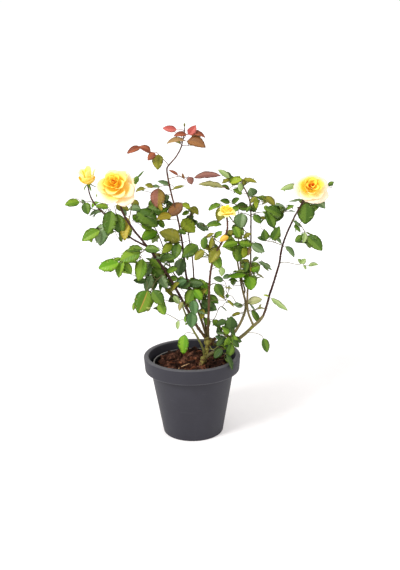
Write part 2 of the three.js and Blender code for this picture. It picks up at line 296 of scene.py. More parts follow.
def make_floor():
    paper = Finish("white_paper", roughness=0.9, Specular_IOR_Level=0.0)
    fibre = paper.noise(paper.place(), 40.0)
    to_eye = paper.node("ShaderNodeLightPath", output="Is Camera Ray")
    away = paper.node("ShaderNodeVectorMath", {"operation": "LENGTH"}, {0: paper.place()}, output="Value")
    # The glow is dimmer and pinkish near the pot: painted shade round it, and white further away.
    glow = paper.mix(paper.within(away, 0, 1, 0.7, 2.2), GLOW_NEAR, (1, 1, 1))
    paper.set(Base_Color=paper.ramp(fibre, (0.3, (0.86, 0.845, 0.84)), (0.7, (0.9, 0.885, 0.88))),
              Emission_Color=paper.mix(to_eye, GLOW_AS_LIGHT, glow), Emission_Strength=FLOOR_GLOW)
    mesh = bpy.data.meshes.new("floor")
    half = FLOOR_SIZE / 2
    corners = [(-half, -half, 0), (half, -half, 0), (half, half, 0), (-half, half, 0)]
    mesh.from_pydata(corners, [], [(0, 1, 2, 3)])
    mesh.materials.append(paper.material)
    floor = bpy.data.objects.new("floor", mesh)
    bpy.context.scene.collection.objects.link(floor)
    floor.location = (0, 0, cad_box[0].z - FLOOR_DROP)


bpy.context.scene.view_settings.view_transform = "Standard"
make_sky()
make_floor()
make_lamp("key", (-1.7, -1.6, 2.1), (0, 0, 0.4), KEY_SIZE, KEY_POWER)
make_lamp("fill", (1.7, -1.3, 1.3), (0, 0, 0.5), FILL_SIZE, FILL_POWER)
print("light: key", KEY_POWER, "W, sky", SKY_LIGHT)

# %% [markdown]
# ## Putting a piece in its place
#
# Every piece ends the same way: its mesh holds its place, it moves with the plant's one body, and the
# plain solids that it stands for are hidden. Small helpers do that once, and one of them turns a
# Geometry Nodes result into a plain mesh.

# %% Helpers for pieces
def add_object(name, mesh, *materials):
    for material in materials:
        mesh.materials.append(material)
    made = bpy.data.objects.new(name, mesh)
    bpy.context.scene.collection.objects.link(made)
    return made


def add_shape(name, verts, faces, *materials, edges=()):
    """A new object from its points and faces."""
    mesh = bpy.data.meshes.new(name)
    mesh.from_pydata(verts, edges, faces)
    return add_object(name, mesh, *materials)


def settle(piece, slot, *nodes, smooth=True):
    """The last step for a piece: shading, body, and the solids that it stands for; the slot is not used."""
    if smooth:
        piece.data.shade_smooth()
    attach(piece, "root")
    if nodes:
        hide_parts(*nodes)
    return piece


def bake_shape(host):
    """The shape that an object's modifiers give, as a plain mesh in its place."""
    bpy.context.view_layer.update()
    shaped = host.evaluated_get(bpy.context.evaluated_depsgraph_get())
    mesh = bpy.data.meshes.new_from_object(shaped)
    host.modifiers.clear()
    host.data = mesh
    return host


def merged_copy(node):
    """A solid's mesh with its loose triangles joined, to be walked or reshaped."""
    shape = bmesh.new()
    shape.from_mesh(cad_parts[node].data)
    bmesh.ops.remove_doubles(shape, verts=shape.verts, dist=0.02 * MM)
    shape.verts.ensure_lookup_table()
    shape.verts.index_update()
    return shape


def ring_points(middle, side, across, radius, sides):
    """Points set evenly round a middle."""
    angles = (math.tau * k / sides for k in range(sides))
    return [middle + (side * math.cos(angle) + across * math.sin(angle)) * radius for angle in angles]


def band_faces(start, sides):
    """The faces between a ring of points and the next."""
    turns = ((start + k, start + (k + 1) % sides) for k in range(sides))
    return [(here, ahead, ahead + sides, here + sides) for here, ahead in turns]


# %% [markdown]
# ## The outer pot
#
# The real pot is moulded in one go from dark grey plastic: a tapering body, and a band round its top,
# some two fingers deep. Such a pot is a turned shape, so half its outline is drawn once and swept
# round by a Screw modifier, as clay is on a wheel. Every edge is rounded, because moulded plastic has
# no sharp ones, and the rounded edges catch the light: along the rim, and along the foot of the band,
# with a dark line of shade right under it.

# %% The pot's outline
RIM_WIDTH = 13 * MM
BAND_HEIGHT = 39 * MM
BAND_TAPER = 3 * MM
BODY_TOP_RADIUS = 107.5 * MM
FOOT_RADIUS = 78 * MM
WALL = 3 * MM
BASE = 4 * MM
FOOT_HOLLOW = 5 * MM     # the underside is raised this far inside its standing ring
POT_STEPS = 160


def rounded(corners, steps=5):
    """An outline whose corners, each with a radius, are turned into short arcs."""
    points = []
    for i, (r, z, radius) in enumerate(corners):
        corner = Vector((r, z))
        if radius == 0:
            points.append(corner)
            continue
        before = (Vector(corners[i - 1][:2]) - corner).normalized()
        after = (Vector(corners[(i + 1) % len(corners)][:2]) - corner).normalized()
        half = before.angle(after) / 2
        reach = radius / math.tan(half)
        centre = corner + (before + after).normalized() * radius / math.sin(half)
        start = corner + before * reach - centre
        turn = start.angle_signed(corner + after * reach - centre)
        for step in range(steps + 1):
            angle = -turn * step / steps
            spun = Vector((start.x * math.cos(angle) - start.y * math.sin(angle),
                           start.x * math.sin(angle) + start.y * math.cos(angle)))
            points.append(centre + spun)
    return points


def turned_shape(name, outline, steps, material):
    """A closed shape swept round the Z axis from half its outline, which starts and ends on the axis."""
    edges = [(i, i + 1) for i in range(len(outline) - 1)]
    turned = add_shape(name, [(point.x, 0, point.y) for point in outline], [], edges=edges)
    screw = turned.modifiers.new("wheel", "SCREW")
    screw.steps = screw.render_steps = steps
    screw.use_merge_vertices = True
    screw.merge_threshold = 0.01 * MM
    bake_shape(turned)
    shape = bmesh.new()
    shape.from_mesh(turned.data)
    bmesh.ops.recalc_face_normals(shape, faces=shape.faces)
    if shape.calc_volume(signed=True) < 0:
        bmesh.ops.reverse_faces(shape, faces=shape.faces)
    shape.to_mesh(turned.data)
    shape.free()
    turned.data.materials.clear()
    turned.data.materials.append(material)
    return turned


RIM_RADIUS, _, POT_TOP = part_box("pot")[1]
BAND_FOOT = POT_TOP - BAND_HEIGHT
print("pot: rim", round(RIM_RADIUS / MM), "mm, height", round(POT_TOP / MM), "mm")

# %% The plastic
def anthracite():
    """Dark grey moulded plastic: a faint mottle, a grain that breaks the gloss, a few scuffs, a painted
    highlight along the foot of the band, and a rim top painted paler, partly dust and partly painted
    highlight.
    """
    plastic = Finish("anthracite_plastic", roughness=0.5, Specular_IOR_Level=0.32)
    at = plastic.place()
    cloud = plastic.noise(at, 14.0, 4.0)
    speck = plastic.noise(at, 900.0, 2.0)
    scuff = plastic.noise(plastic.place((1, 1, 7)), 26.0, 5.0, 0.65)
    tone = (cloud * 0.6 + speck * 0.4).clamped()
    color = plastic.ramp(tone, (0.3, srgb(42, 41, 49)), (0.55, srgb(49, 48, 56)), (0.8, srgb(58, 57, 66)))
    worn = plastic.within(scuff, 0.0, 0.35, 0.62, 0.8)
    color = plastic.mix(worn, color, srgb(82, 81, 88))
    height = plastic.part(at, "Z")
    # The rim's top is painted paler in patches: partly dust, and partly painted highlight where the top of
    # the rim catches the light.
    rim_dust_and_highlight = plastic.within(height, 0.0, 0.3, POT_TOP - 3 * MM, POT_TOP - 0.5 * MM)
    # A pale line along the foot of the band, broken up by the scuffs: painted highlight on the band's rounded
    # lower edge.
    from_edge = plastic.maths("ABSOLUTE", height - (BAND_FOOT + 1.4 * MM))
    edge = plastic.within(from_edge, 0.3, 0, 0.5 * MM, 2.0 * MM) * plastic.within(scuff, 0.4, 1.0, 0.35, 0.6)
    color = plastic.mix(edge, color, srgb(120, 119, 123))
    color = plastic.mix(rim_dust_and_highlight * plastic.within(scuff, 0.6, 1.0, 0.3, 0.6), color, srgb(138, 136, 138))
    rough = plastic.within(cloud * 0.5 + speck * 0.5, 0.42, 0.62, 0.3, 0.7)
    grain = plastic.bump(speck, 0.25 * MM, 0.35)
    return plastic.set(Base_Color=color, Roughness=rough, Normal=plastic.bump(cloud, 1.5 * MM, 0.12, grain))


# %% The pot itself
def make_pot():
    band_radius = RIM_RADIUS - BAND_TAPER
    rim_inner = RIM_RADIUS - RIM_WIDTH
    outline = rounded([
        (0, FOOT_HOLLOW, 0),
        (FOOT_RADIUS - 14 * MM, FOOT_HOLLOW, 3 * MM),
        (FOOT_RADIUS - 9 * MM, 0, 1.5 * MM),
        (FOOT_RADIUS, 0, 3 * MM),
        (BODY_TOP_RADIUS, BAND_FOOT + 1 * MM, 1.2 * MM),
        (band_radius, BAND_FOOT, 2.6 * MM),
        (RIM_RADIUS, POT_TOP, 3.2 * MM),
        (rim_inner, POT_TOP, 4 * MM),
        (rim_inner - 2 * MM, BAND_FOOT + 4 * MM, 4 * MM),
        (BODY_TOP_RADIUS - WALL, BAND_FOOT - WALL, 4 * MM),
        (FOOT_RADIUS - WALL, BASE + FOOT_HOLLOW, 2 * MM),
        (0, BASE + FOOT_HOLLOW, 0),
    ])
    pot = turned_shape("pot_body", outline, POT_STEPS, anthracite())
    return settle(pot, "pot", "pot")


pot = make_pot()
print("pot faces:", len(pot.data.polygons))

# %% [markdown]
# ## The grower's pot inside
#
# The bush still stands in the thin black pot that it was grown in. Only its lip shows, as a fine
# line a little below the rim of the outer pot. It's the same turned shape as before, in a plastic
# that is thinner, blacker and shinier, with a dusting of dried soil, and a pale line along the top
# of the lip that is partly dust and partly painted highlight.

# %% The grower's pot
def black_plastic():
    plastic = Finish("black_thin_plastic", roughness=0.4, Specular_IOR_Level=0.4)
    at = plastic.place()
    dust = plastic.noise(at, 60.0, 5.0, 0.65)
    soiled = plastic.within(dust, 0.0, 0.7, 0.52, 0.72)
    color = plastic.mix(soiled, srgb(24, 24, 26), srgb(88, 70, 56))
    height = plastic.part(at, "Z")
    lip_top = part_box("growers_pot")[1].z
    # A pale line along the top of the lip: partly dust, and partly painted highlight.
    lip_dust_and_highlight = plastic.within(height, 0, 0.55, lip_top - 0.9 * MM, lip_top - 0.2 * MM)
    color = plastic.mix(lip_dust_and_highlight, color, srgb(150, 146, 142))
    return plastic.set(Base_Color=color, Roughness=plastic.within(dust, 0.3, 0.75, 0.35, 0.7),
                       Normal=plastic.bump(dust, 0.5 * MM, 0.3))


def make_growers_pot():
    low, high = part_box("growers_pot")
    lip = 2.4 * MM
    wall = 1.4 * MM
    side = high.x - lip
    foot = 72 * MM
    outline = rounded([
        (0, low.z, 0),
        (foot, low.z, 2 * MM),
        (side, high.z - lip, 0.3 * MM),
        (high.x, high.z - lip, 0.6 * MM),
        (high.x, high.z, 0.8 * MM),
        (side - wall, high.z, 0.5 * MM),
        (foot - wall, low.z + wall, 1 * MM),
        (0, low.z + wall, 0),
    ], 3)
    inner = turned_shape("growers_pot_body", outline, 128, black_plastic())
    return settle(inner, "growers_pot", "growers_pot")


growers_pot = make_growers_pot()
print("grower's pot faces:", len(growers_pot.data.polygons))

# %% [markdown]
# ## The line of each limb
#
# A cane is told by its line. On the plain solids each limb is a six-sided tube, so its line can be
# read back from it: start in the middle of the cut end, then step from ring to ring down to the
# foot. The steps are then smoothed to short ones, and the foot is led right into its parent, since
# a shoot comes from inside the cane it grows on. A faint zigzag is added, because a rose cane
# bends a little at each leaf it has carried.

# %% Walking down the limbs
PARENTS = {
    "left_cane": "stump", "tall_cane": "stump", "inner_left_cane": "stump", "green_cane": "stump",
    "middle_cane": "stump", "right_inner_cane": "stump", "right_cane_foot": "stump",
    "low_right_shoot": "stump", "right_cane": "right_cane_foot", "left_fork_cane": "left_cane",
    "inner_thin_cane": "tall_cane", "right_back_cane": "right_inner_cane",
    "right_tall_cane": "right_cane_foot", "left_middle_shoot": "left_cane",
    "left_lower_shoot": "left_cane", "bronze_left_stalk": "tall_cane", "bronze_right_stalk": "tall_cane",
    "right_outer_shoot": "right_tall_cane", "right_pair_stalk": "right_cane",
    "right_side_stalk": "right_cane", "bud_stalk": "left_cane",
}
STEP = 2.2 * MM
SIDES_OF_TUBE = 6
STUMP_AT = sum(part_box("stump"), Vector()) / 2
# The stump's own line: places and radii in mm, from the compost to the crotch.
STUMP_LINE = (((28, -23, 180), 7), ((32, -22, 204), 6), ((43, -19, 247), 6))
# The tall cane bows between these heights, this far.
TALL_SWAY = (682 * MM, 748 * MM, Vector((6, 0, -3.5)) * MM)


def is_end_middle(vert):
    faces = vert.link_faces
    return len(faces) >= 5 and all(face.normal.dot(faces[0].normal) > 0.999 for face in faces)


def rings_of(node):
    """The middles and radii of a limb's rings, from its foot to its tip."""
    shape = merged_copy(node)
    ends = [vert for vert in shape.verts if is_end_middle(vert)]
    layer = [max(ends, key=lambda vert: (vert.co - STUMP_AT).length)]
    seen = set(layer)
    rings = []
    while layer:
        around = {edge.other_vert(vert) for vert in layer for edge in vert.link_edges} - seen
        seen |= around
        layer = list(around)
        if len(layer) != SIDES_OF_TUBE:
            break
        middle = sum((vert.co for vert in layer), Vector()) / len(layer)
        rings.append((middle, sum((vert.co - middle).length for vert in layer) / len(layer)))
    shape.free()
    return rings[::-1]


def spline(knots, step):
    """A smooth line through some points, as points a step apart; each is a position and a radius."""
    line = []
    for i in range(len(knots) - 1):
        around = [knots[max(0, i - 1)], knots[i], knots[i + 1], knots[min(len(knots) - 1, i + 2)]]
        p0, p1, p2, p3 = [np.array([*place, radius]) for place, radius in around]
        count = max(1, round((knots[i + 1][0] - knots[i][0]).length / step))
        for k in range(count):
            t = k / count
            bend = (2 * p1 + (p2 - p0) * t + (2 * p0 - 5 * p1 + 4 * p2 - p3) * t * t
                    + (3 * p1 - p0 - 3 * p2 + p3) * t ** 3) / 2
            line.append((Vector(bend[:3]), float(bend[3])))
    return line + [knots[-1]]


def joint_on(parent, knots):
    """Where a limb, led on straight from its foot, meets its parent."""
    start, back = knots[0][0], (knots[0][0] - knots[1][0]).normalized()

    def miss(point):
        away = point[0] - start
        return (away - back * max(0, away.dot(back))).length + 0.25 * away.length
    if parent == "stump":
        return min(limb_lines["stump"], key=lambda point: (point[0] - start).length)
    return min(limb_lines[parent], key=miss)


def zigzag(line, depth):
    """A line moved sideways a little, as a cane bends at each leaf scar; its ends stay put."""
    moved = []
    for i, (place, radius) in enumerate(line):
        ends = min(1, i / 8, (len(line) - 1 - i) / 6)
        push = noise.noise_vector(place / (26 * MM)) * depth
        push = push + noise.noise_vector(place / (9 * MM)) * depth * 0.35
        moved.append((place + push * ends, radius))
    return moved


def softened(line, rounds=26):
    """A line with its sharp bends eased, as a growing cane eases them; its ends stay put."""
    places = np.array([place for place, _ in line])
    for _ in range(rounds):
        places[1:-1] = (places[:-2] + 2 * places[1:-1] + places[2:]) / 4
    return [(Vector(place), radius) for place, (_, radius) in zip(places.tolist(), line)]


def swayed(line, low, high, push):
    """A line bowed sideways between two heights, as young wood bows under its own leaves."""
    moved = []
    for place, radius in line:
        share = min(1, max(0, (place.z - low) / (high - low)))
        moved.append((place + push * math.sin(math.pi * share), radius))
    return moved


limb_lines = {"stump": [(Vector(place) * MM, radius * MM) for place, radius in STUMP_LINE]}
for limb, parent in PARENTS.items():
    knots = rings_of(limb)
    foot = joint_on(parent, knots)
    knots.insert(0, (foot[0], min(knots[0][1] * 1.06, foot[1])))
    limb_lines[limb] = zigzag(softened(spline(knots, STEP)), min(0.9 * MM, 0.45 * knots[-1][1]))
    if limb == "tall_cane":
        limb_lines[limb] = swayed(limb_lines[limb], *TALL_SWAY)
    print(limb, len(limb_lines[limb]), "points, from", tuple(round(v, 3) for v in limb_lines[limb][0][0]))

# %% [markdown]
# ## Bark
#
# Young rose bark isn't furrowed: it's a tight skin, dark red-brown where the sun reaches it and
# olive in the shade near the ground, with small pale pores, faint lengthwise streaks, and a ridge
# round every leaf scar. Colour alone can say most of that, so the finish is worked out from where
# a spot is: height gives the change from olive to brown, noise stretched along the cane the streaks.

# %% Bark finishes
def bark(name, low_color, high_color, bright, turn_from, turn_to):
    """Bark that changes colour with height, streaked along the cane, dotted with pores, and with lighter
    patches that are partly its own mottle and partly painted sheen.
    """
    skin = Finish(name, roughness=0.5, Specular_IOR_Level=0.2)
    at = skin.place()
    height = skin.part(at, "Z")
    patch = skin.noise(at, 34.0, 4.0, 0.6)
    streak = skin.noise(skin.place((1, 1, 0.12)), 700.0, 3.0, 0.6)
    pores = skin.noise(at, 1300.0, 1.0, 0.5)
    share = skin.within(height + patch * 0.09, 0, 1, turn_from + 0.045, turn_to + 0.045)
    color = skin.mix(share, low_color, high_color)
    # Lighter patches over the bark: partly its own mottle, and partly painted sheen.
    color = skin.mix(skin.within(patch * 0.55 + streak * 0.45, 0, 0.75, 0.46, 0.68), color, bright)
    color = skin.mix(skin.within(streak, 0, 0.6, 0.56, 0.8), color, srgb(34, 20, 16))
    color = skin.mix(skin.within(pores, 0, 0.5, 0.66, 0.74), color, srgb(168, 146, 118))
    rough = skin.within(patch + streak, 0.34, 0.66, 0.7, 1.3)
    fine = skin.bump(streak, 0.25 * MM, 0.5)
    return skin.set(Base_Color=color, Roughness=rough, Normal=skin.bump(pores, 0.2 * MM, 0.4, fine))


DARK_BARK = bark("dark_bark", srgb(96, 76, 44), srgb(52, 27, 22), srgb(84, 50, 38), 0.27, 0.36)
BROWN_BARK = bark("brown_bark", srgb(98, 86, 48), srgb(82, 50, 38), srgb(124, 90, 66), 0.26, 0.4)
GREEN_BARK = bark("green_bark", srgb(122, 124, 62), srgb(126, 118, 70), srgb(156, 158, 92), 0.3, 0.6)
OLIVE_BARK = bark("olive_bark", srgb(112, 104, 60), srgb(96, 76, 54), srgb(148, 132, 90), 0.25, 0.42)
TWIG_BARK = bark("twig_bark", srgb(100, 102, 56), srgb(104, 78, 56), srgb(140, 126, 84), 0.3, 0.7)
print("bark finishes:", [m.name for m in (DARK_BARK, BROWN_BARK, GREEN_BARK, OLIVE_BARK, TWIG_BARK)])

# %% [markdown]
# ## Growing the canes
#
# The skin of a limb follows its line, so it's a job for Geometry Nodes: the line becomes a curve, a
# circle is swept along it, the skin is pushed in and out by noise, and prickles are scattered over
# it. The real prickles are flat hooks that point a little down the cane. Each is a cone set on the
# skin, leaning that way. One tree serves all limbs, with the number and size of the prickles, the
# relief and the seed as inputs, so a thorny cane and a smooth shoot differ only in those.

# %% A node tree for limbs
class Tree:
    """A Geometry Nodes tree: its named inputs, and the nodes that use them."""

    def __init__(self, name, **inputs):
        self.group = bpy.data.node_groups.new(name, "GeometryNodeTree")
        self.add_socket("Geometry", "Geometry", "INPUT")
        for title, kind in inputs.items():
            self.add_socket(title.replace("_", " "), kind, "INPUT")
        self.add_socket("Geometry", "Geometry", "OUTPUT")
        self.given = self.group.nodes.new("NodeGroupInput").outputs

    def add_socket(self, title, kind, way):
        self.group.interface.new_socket(title, in_out=way, socket_type="NodeSocket" + kind)

    def node(self, kind, inputs=None, settings=None, output=0):
        """A node's output. An input is a value, another node's output, or a list of outputs."""
        made = self.group.nodes.new(kind)
        for key, value in (settings or {}).items():
            setattr(made, key, value)
        for key, value in (inputs or {}).items():
            for one in value if isinstance(value, list) else [value]:
                if isinstance(one, bpy.types.NodeSocket):
                    self.group.links.new(one, made.inputs[key])
                else:
                    made.inputs[key].default_value = one
        return made.outputs[output]

    def vector(self, operation, first, second):
        return self.node("ShaderNodeVectorMath", {0: first, 1: second}, {"operation": operation})

    def scaled(self, vector, by):
        return self.node("ShaderNodeVectorMath", {0: vector, 3: by}, {"operation": "SCALE"})

    def end(self, geometry, finish):
        """The last nodes, which give the finish and the result."""
        done = self.node("GeometryNodeSetMaterial", {"Geometry": geometry, "Material": finish})
        self.group.links.new(done, self.group.nodes.new("NodeGroupOutput").inputs["Geometry"])
        return self.group


VECTORS = {"data_type": "FLOAT_VECTOR"}
CANE_SIDES = 10
LIFT_FROM, LIFT_TO = 0.3, 0.7                 # the stretch of the noise that raises the bark
PRICKLE = {"Vertices": 6, "Radius Top": 0.02, "Radius Bottom": 0.3, "Depth": 1}
PRICKLE_SUNK = (0, 0, -0.15)
PRICKLE_LEAN = -0.5
PRICKLE_SIZES = (0.55, 1.25)


def limb_tree():
    tree = Tree("limb", Relief="Float", Grain="Float", Prickles="Float", Prickle_Size="Float", Seed="Int",
                Bark="Material")
    given = tree.given
    line = tree.node("GeometryNodeMeshToCurve", {"Mesh": given["Geometry"]})
    tangent = tree.node("GeometryNodeInputTangent")
    stored = {"Geometry": line, "Name": "along", "Value": tangent}
    line = tree.node("GeometryNodeStoreNamedAttribute", stored, VECTORS)
    circle = tree.node("GeometryNodeCurvePrimitiveCircle", {"Resolution": CANE_SIDES, "Radius": 1})
    girth = tree.node("GeometryNodeInputNamedAttribute", {"Name": "girth"})
    swept = {"Curve": line, "Profile Curve": circle, "Scale": girth, "Fill Caps": True}
    skin = tree.node("GeometryNodeCurveToMesh", swept)
    swell = tree.node("ShaderNodeTexNoise", {"Scale": given["Grain"]})
    stretch = {"From Min": LIFT_FROM, "From Max": LIFT_TO, "To Min": 0, "To Max": given["Relief"]}
    push = tree.node("ShaderNodeMapRange", {"Value": swell, **stretch})
    offset = tree.scaled(tree.node("GeometryNodeInputNormal"), push)
    skin = tree.node("GeometryNodeSetPosition", {"Geometry": skin, "Offset": offset})
    spread = {"Mesh": skin, "Density": given["Prickles"], "Seed": given["Seed"]}
    points = tree.node("GeometryNodeDistributePointsOnFaces", spread)
    hook = tree.node("GeometryNodeMeshCone", PRICKLE)
    hook = tree.node("GeometryNodeTransform", {"Geometry": hook, "Translation": PRICKLE_SUNK})
    along = tree.node("GeometryNodeInputNamedAttribute", {"Name": "along"}, VECTORS)
    way = tree.vector("ADD", points.node.outputs["Normal"], tree.scaled(along, PRICKLE_LEAN))
    turn = tree.node("FunctionNodeAlignRotationToVector", {"Vector": way}, {"axis": "Z"})
    sizes = dict(zip((2, 3), PRICKLE_SIZES))
    size = tree.node("FunctionNodeRandomValue", {**sizes, "Seed": given["Seed"]}, {"data_type": "FLOAT"}, 1)
    size = tree.node("ShaderNodeMath", {0: size, 1: given["Prickle Size"]}, {"operation": "MULTIPLY"})
    planted = {"Points": points, "Instance": hook, "Rotation": turn, "Scale": size}
    hooks = tree.node("GeometryNodeInstanceOnPoints", planted)
    joined = tree.node("GeometryNodeJoinGeometry", {"Geometry": [hooks, skin]})
    return tree.end(tree.node("GeometryNodeRealizeInstances", {"Geometry": joined}), given["Bark"])


def use_tree(host, tree, **values):
    """Adds a node tree to an object and sets its inputs by their names."""
    layer = host.modifiers.new(tree.name, "NODES")
    layer.node_group = tree
    sockets = {item.name: item.identifier for item in tree.interface.items_tree if item.in_out == "INPUT"}
    for title, value in values.items():
        layer[sockets[title.replace("_", " ")]] = value
    return bake_shape(host)


LIMB_TREE = limb_tree()
print("limb tree inputs:", [item.name for item in LIMB_TREE.interface.items_tree if item.in_out == "INPUT"])

# %% Canes, stalks and shoots
# Each limb's bark, prickles to a square centimetre, and their size in mm.
LIMB_LOOKS = {
    "left_cane": (DARK_BARK, 1.3, 3.4), "left_fork_cane": (DARK_BARK, 0.7, 2.4),
    "tall_cane": (BROWN_BARK, 0.45, 2.2), "inner_left_cane": (BROWN_BARK, 1.1, 2.2),
    "inner_thin_cane": (BROWN_BARK, 1.2, 2.0), "middle_cane": (BROWN_BARK, 2.3, 2.8),
    "right_tall_cane": (OLIVE_BARK, 1.8, 2.4), "right_cane_foot": (OLIVE_BARK, 0.7, 2.6),
    "right_cane": (DARK_BARK, 1.3, 3.0), "right_inner_cane": (OLIVE_BARK, 0.9, 2.6),
    "right_back_cane": (OLIVE_BARK, 0.9, 2.2), "green_cane": (GREEN_BARK, 0.5, 2.4),
    "low_right_shoot": (GREEN_BARK, 0.4, 1.8),
}
OTHER_LIMBS = (TWIG_BARK, 0.0, 1.0)
YOUNG = ("green_cane", "right_inner_cane", "low_right_shoot")
STOUTER = {"right_tall_cane": 1.2, "right_cane_foot": 1.22, "right_inner_cane": 1.2, "middle_cane": 1.15}
TIP_TAPER = 14 * MM
PER_CM2 = 1e4            # one to a square centimetre, in the square metres that Blender counts in
ENDS_IN_BLOOM = ("left_cane", "left_fork_cane", "middle_cane", "right_cane", "bud_stalk", "right_cane_foot")


def make_limb(name, seed):
    line = list(limb_lines[name])
    if name not in ENDS_IN_BLOOM:
        ahead = (line[-1][0] - line[-4][0]).normalized()
        end, radius = line[-1]
        for share in (0.25, 0.5, 0.75, 1):
            line.append((end + ahead * TIP_TAPER * share, radius * (1 - 0.8 * share)))
    edges = [(i, i + 1) for i in range(len(line) - 1)]
    limb = add_shape(name + "_bark", [place for place, _ in line], [], edges=edges)
    girth = limb.data.attributes.new("girth", "FLOAT", "POINT")
    girth.data.foreach_set("value", [radius * STOUTER.get(name, 1) for _, radius in line])
    finish, prickles, size = LIMB_LOOKS.get(name, OTHER_LIMBS)
    use_tree(limb, LIMB_TREE, Relief=0.14 * line[0][1], Grain=150.0, Prickles=prickles * PER_CM2,
             Prickle_Size=size * MM, Seed=seed, Bark=finish)
    return settle(limb, "young_bark" if name in YOUNG else "dark_bark", name)


limb_pieces = [make_limb(name, seed) for seed, name in enumerate(PARENTS, 1)]
print("faces in all limbs:", sum(len(piece.data.polygons) for piece in limb_pieces))

# %% [markdown]
# ## The stump
#
# Below the canes sits the old wood: a short, greenish-yellow stem that swells at its foot and ends
# in a knot of healed cuts, where a gardener has pruned it year after year. Old wood is lumpy in a
# way no tube is, so the plain stump is joined with balls at its foot, collars where canes come out
# and a few pruned ends, and a voxel remesh melts them into one skin, which noise then roughens.

# %% Lumps, collars and pruned ends
def add_ball(shape, at, radius, stretch=(1, 1, 1)):
    place = Matrix.Translation(at) @ Matrix.Diagonal((*stretch, 1))
    bmesh.ops.create_icosphere(shape, subdivisions=2, radius=radius, matrix=place)


def add_peg(shape, foot, top, foot_radius, top_radius):
    """A short tapered peg between two places."""
    foot, top = Vector(foot), Vector(top)
    turn = (top - foot).to_track_quat("Z", "Y").to_matrix().to_4x4()
    bmesh.ops.create_cone(shape, cap_ends=True, segments=12, radius1=foot_radius, radius2=top_radius,
                          depth=(top - foot).length, matrix=Matrix.Translation((foot + top) / 2) @ turn)


def rough_skin(mesh, coarse, fine):
    """Pushes a mesh in and out by two sizes of noise."""
    mesh.update()
    for vert in mesh.vertices:
        push = noise.noise(vert.co / (5 * MM)) * coarse + noise.noise(vert.co / (1.6 * MM)) * fine
        vert.co += vert.normal * push


def stump_bark():
    """Old rose bark: yellow-green, with brown where it has died back and dark cracks."""
    wood = Finish("old_bark", roughness=0.75, Specular_IOR_Level=0.25)
    at = wood.place()
    height = wood.part(at, "Z")
    patch = wood.noise(at, 110.0, 4.0, 0.65)
    streak = wood.noise(wood.place((1, 1, 0.2)), 420.0, 4.0, 0.7)
    fresh = wood.ramp(streak, (0.35, srgb(118, 114, 50)), (0.52, srgb(166, 158, 78)),
                      (0.7, srgb(190, 176, 106)))
    dead = wood.ramp(streak, (0.35, srgb(46, 30, 20)), (0.55, srgb(92, 58, 34)), (0.72, srgb(140, 98, 58)))
    low = wood.within(height, 1.1, 0.0, 0.19, 0.22)
    across = wood.part(at, "X")
    high = wood.within(height, 0.0, 1.0, 0.222, 0.236) * wood.within(across, 0.0, 1.0, 0.038, 0.048)
    worn = (low * 0.9 + high * 0.9 + wood.within(patch, -0.25, 0.5, 0.42, 0.66)).clamped()
    return wood.set(Base_Color=wood.mix(worn, fresh, dead), Roughness=wood.within(patch, 0.6, 0.92, 0.3, 0.7),
                    Normal=wood.bump(streak, 0.6 * MM, 0.6))


# Old wood at the foot, in mm: two places from the stump's foot, and the radius at each.
FOOT_PEGS = (((1, -1, 27), (-7, -25, 13), 7, 4.5), ((2, 2, 14), (14, 9, 0), 5, 4))
# Pruned ends round the crotch: the way each leans, its length and its radius.
PRUNED = (((0.9, 0.1, 0.45), 21, 4.2), ((0.55, -0.5, 0.7), 17, 3.4), ((-0.5, 0.6, 0.65), 16, 3.0),
          ((0.7, 0.6, 0.1), 18, 3.8))


def make_stump():
    shape = merged_copy("stump")
    foot, crotch = limb_lines["stump"][0][0], limb_lines["stump"][-1][0]
    for limb, parent in PARENTS.items():
        if parent == "stump":
            line = limb_lines[limb]
            for place, radius in line[1:9:2]:
                add_ball(shape, place, radius * 1.14)
    chance = np.random.default_rng(11)
    for angle in chance.uniform(0, math.tau, 9):
        out = Vector((math.cos(angle), math.sin(angle), 0)) * chance.uniform(6, 11) * MM
        add_ball(shape, foot + out + Vector((0, 0, 1 * MM)), chance.uniform(3, 5.5) * MM, (1.2, 1.2, 0.7))
    for top, end, top_radius, end_radius in FOOT_PEGS:
        add_peg(shape, foot + Vector(top) * MM, foot + Vector(end) * MM, top_radius * MM, end_radius * MM)
    for _ in range(12):
        away = (Vector(chance.normal(0, 1, 3)) + Vector((0.9, 0, 0))).normalized()
        add_ball(shape, crotch + away * chance.uniform(7, 11) * MM, chance.uniform(2.5, 5) * MM)
    for lean, length, radius in PRUNED:
        end = crotch + Vector(lean).normalized() * length * MM
        add_peg(shape, crotch, end, radius * 1.2 * MM, radius * MM)
    mesh = bpy.data.meshes.new("stump_bark")
    shape.to_mesh(mesh)
    shape.free()
    mesh.materials.clear()
    stump = add_object("stump_bark", mesh, stump_bark())
    melt = stump.modifiers.new("melt", "REMESH")
    melt.mode = "VOXEL"
    melt.voxel_size = 0.9 * MM
    soften = stump.modifiers.new("soften", "SMOOTH")
    soften.iterations = 3
    bake_shape(stump)
    rough_skin(stump.data, 1.3 * MM, 0.5 * MM)
    return settle(stump, "old_bark", "stump")


stump = make_stump()
print("stump faces:", len(stump.data.polygons))

# %% [markdown]
# ## The compost
#
# Rose compost is mostly composted bark: angular brown chips, up to the size of a thumbnail, over
# crumbs and dark dust, with a few pale splinters. It can't be one rough disc, because light has to
# fall between the chips. So a lumpy bed is made first, with a closed underside, and then chips are
# strewn over it by Geometry Nodes. Each chip starts as a plain box; noise bends it after it has
# been set down, so that no two are the same. One tree strews all four kinds.

# %% The bed
BED_RINGS = 30
BED_STEPS = 96
BED_DEPTH = 25 * MM
BED_LUMPS = ((16, 3, 3.2), (5, 7, 1.1))       # width in mm, a place in the noise, and height in mm
BED_EDGE = 0.8                                # the bed falls off past this share of its radius
COMPOST_RADIUS, _, COMPOST_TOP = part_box("compost")[1]


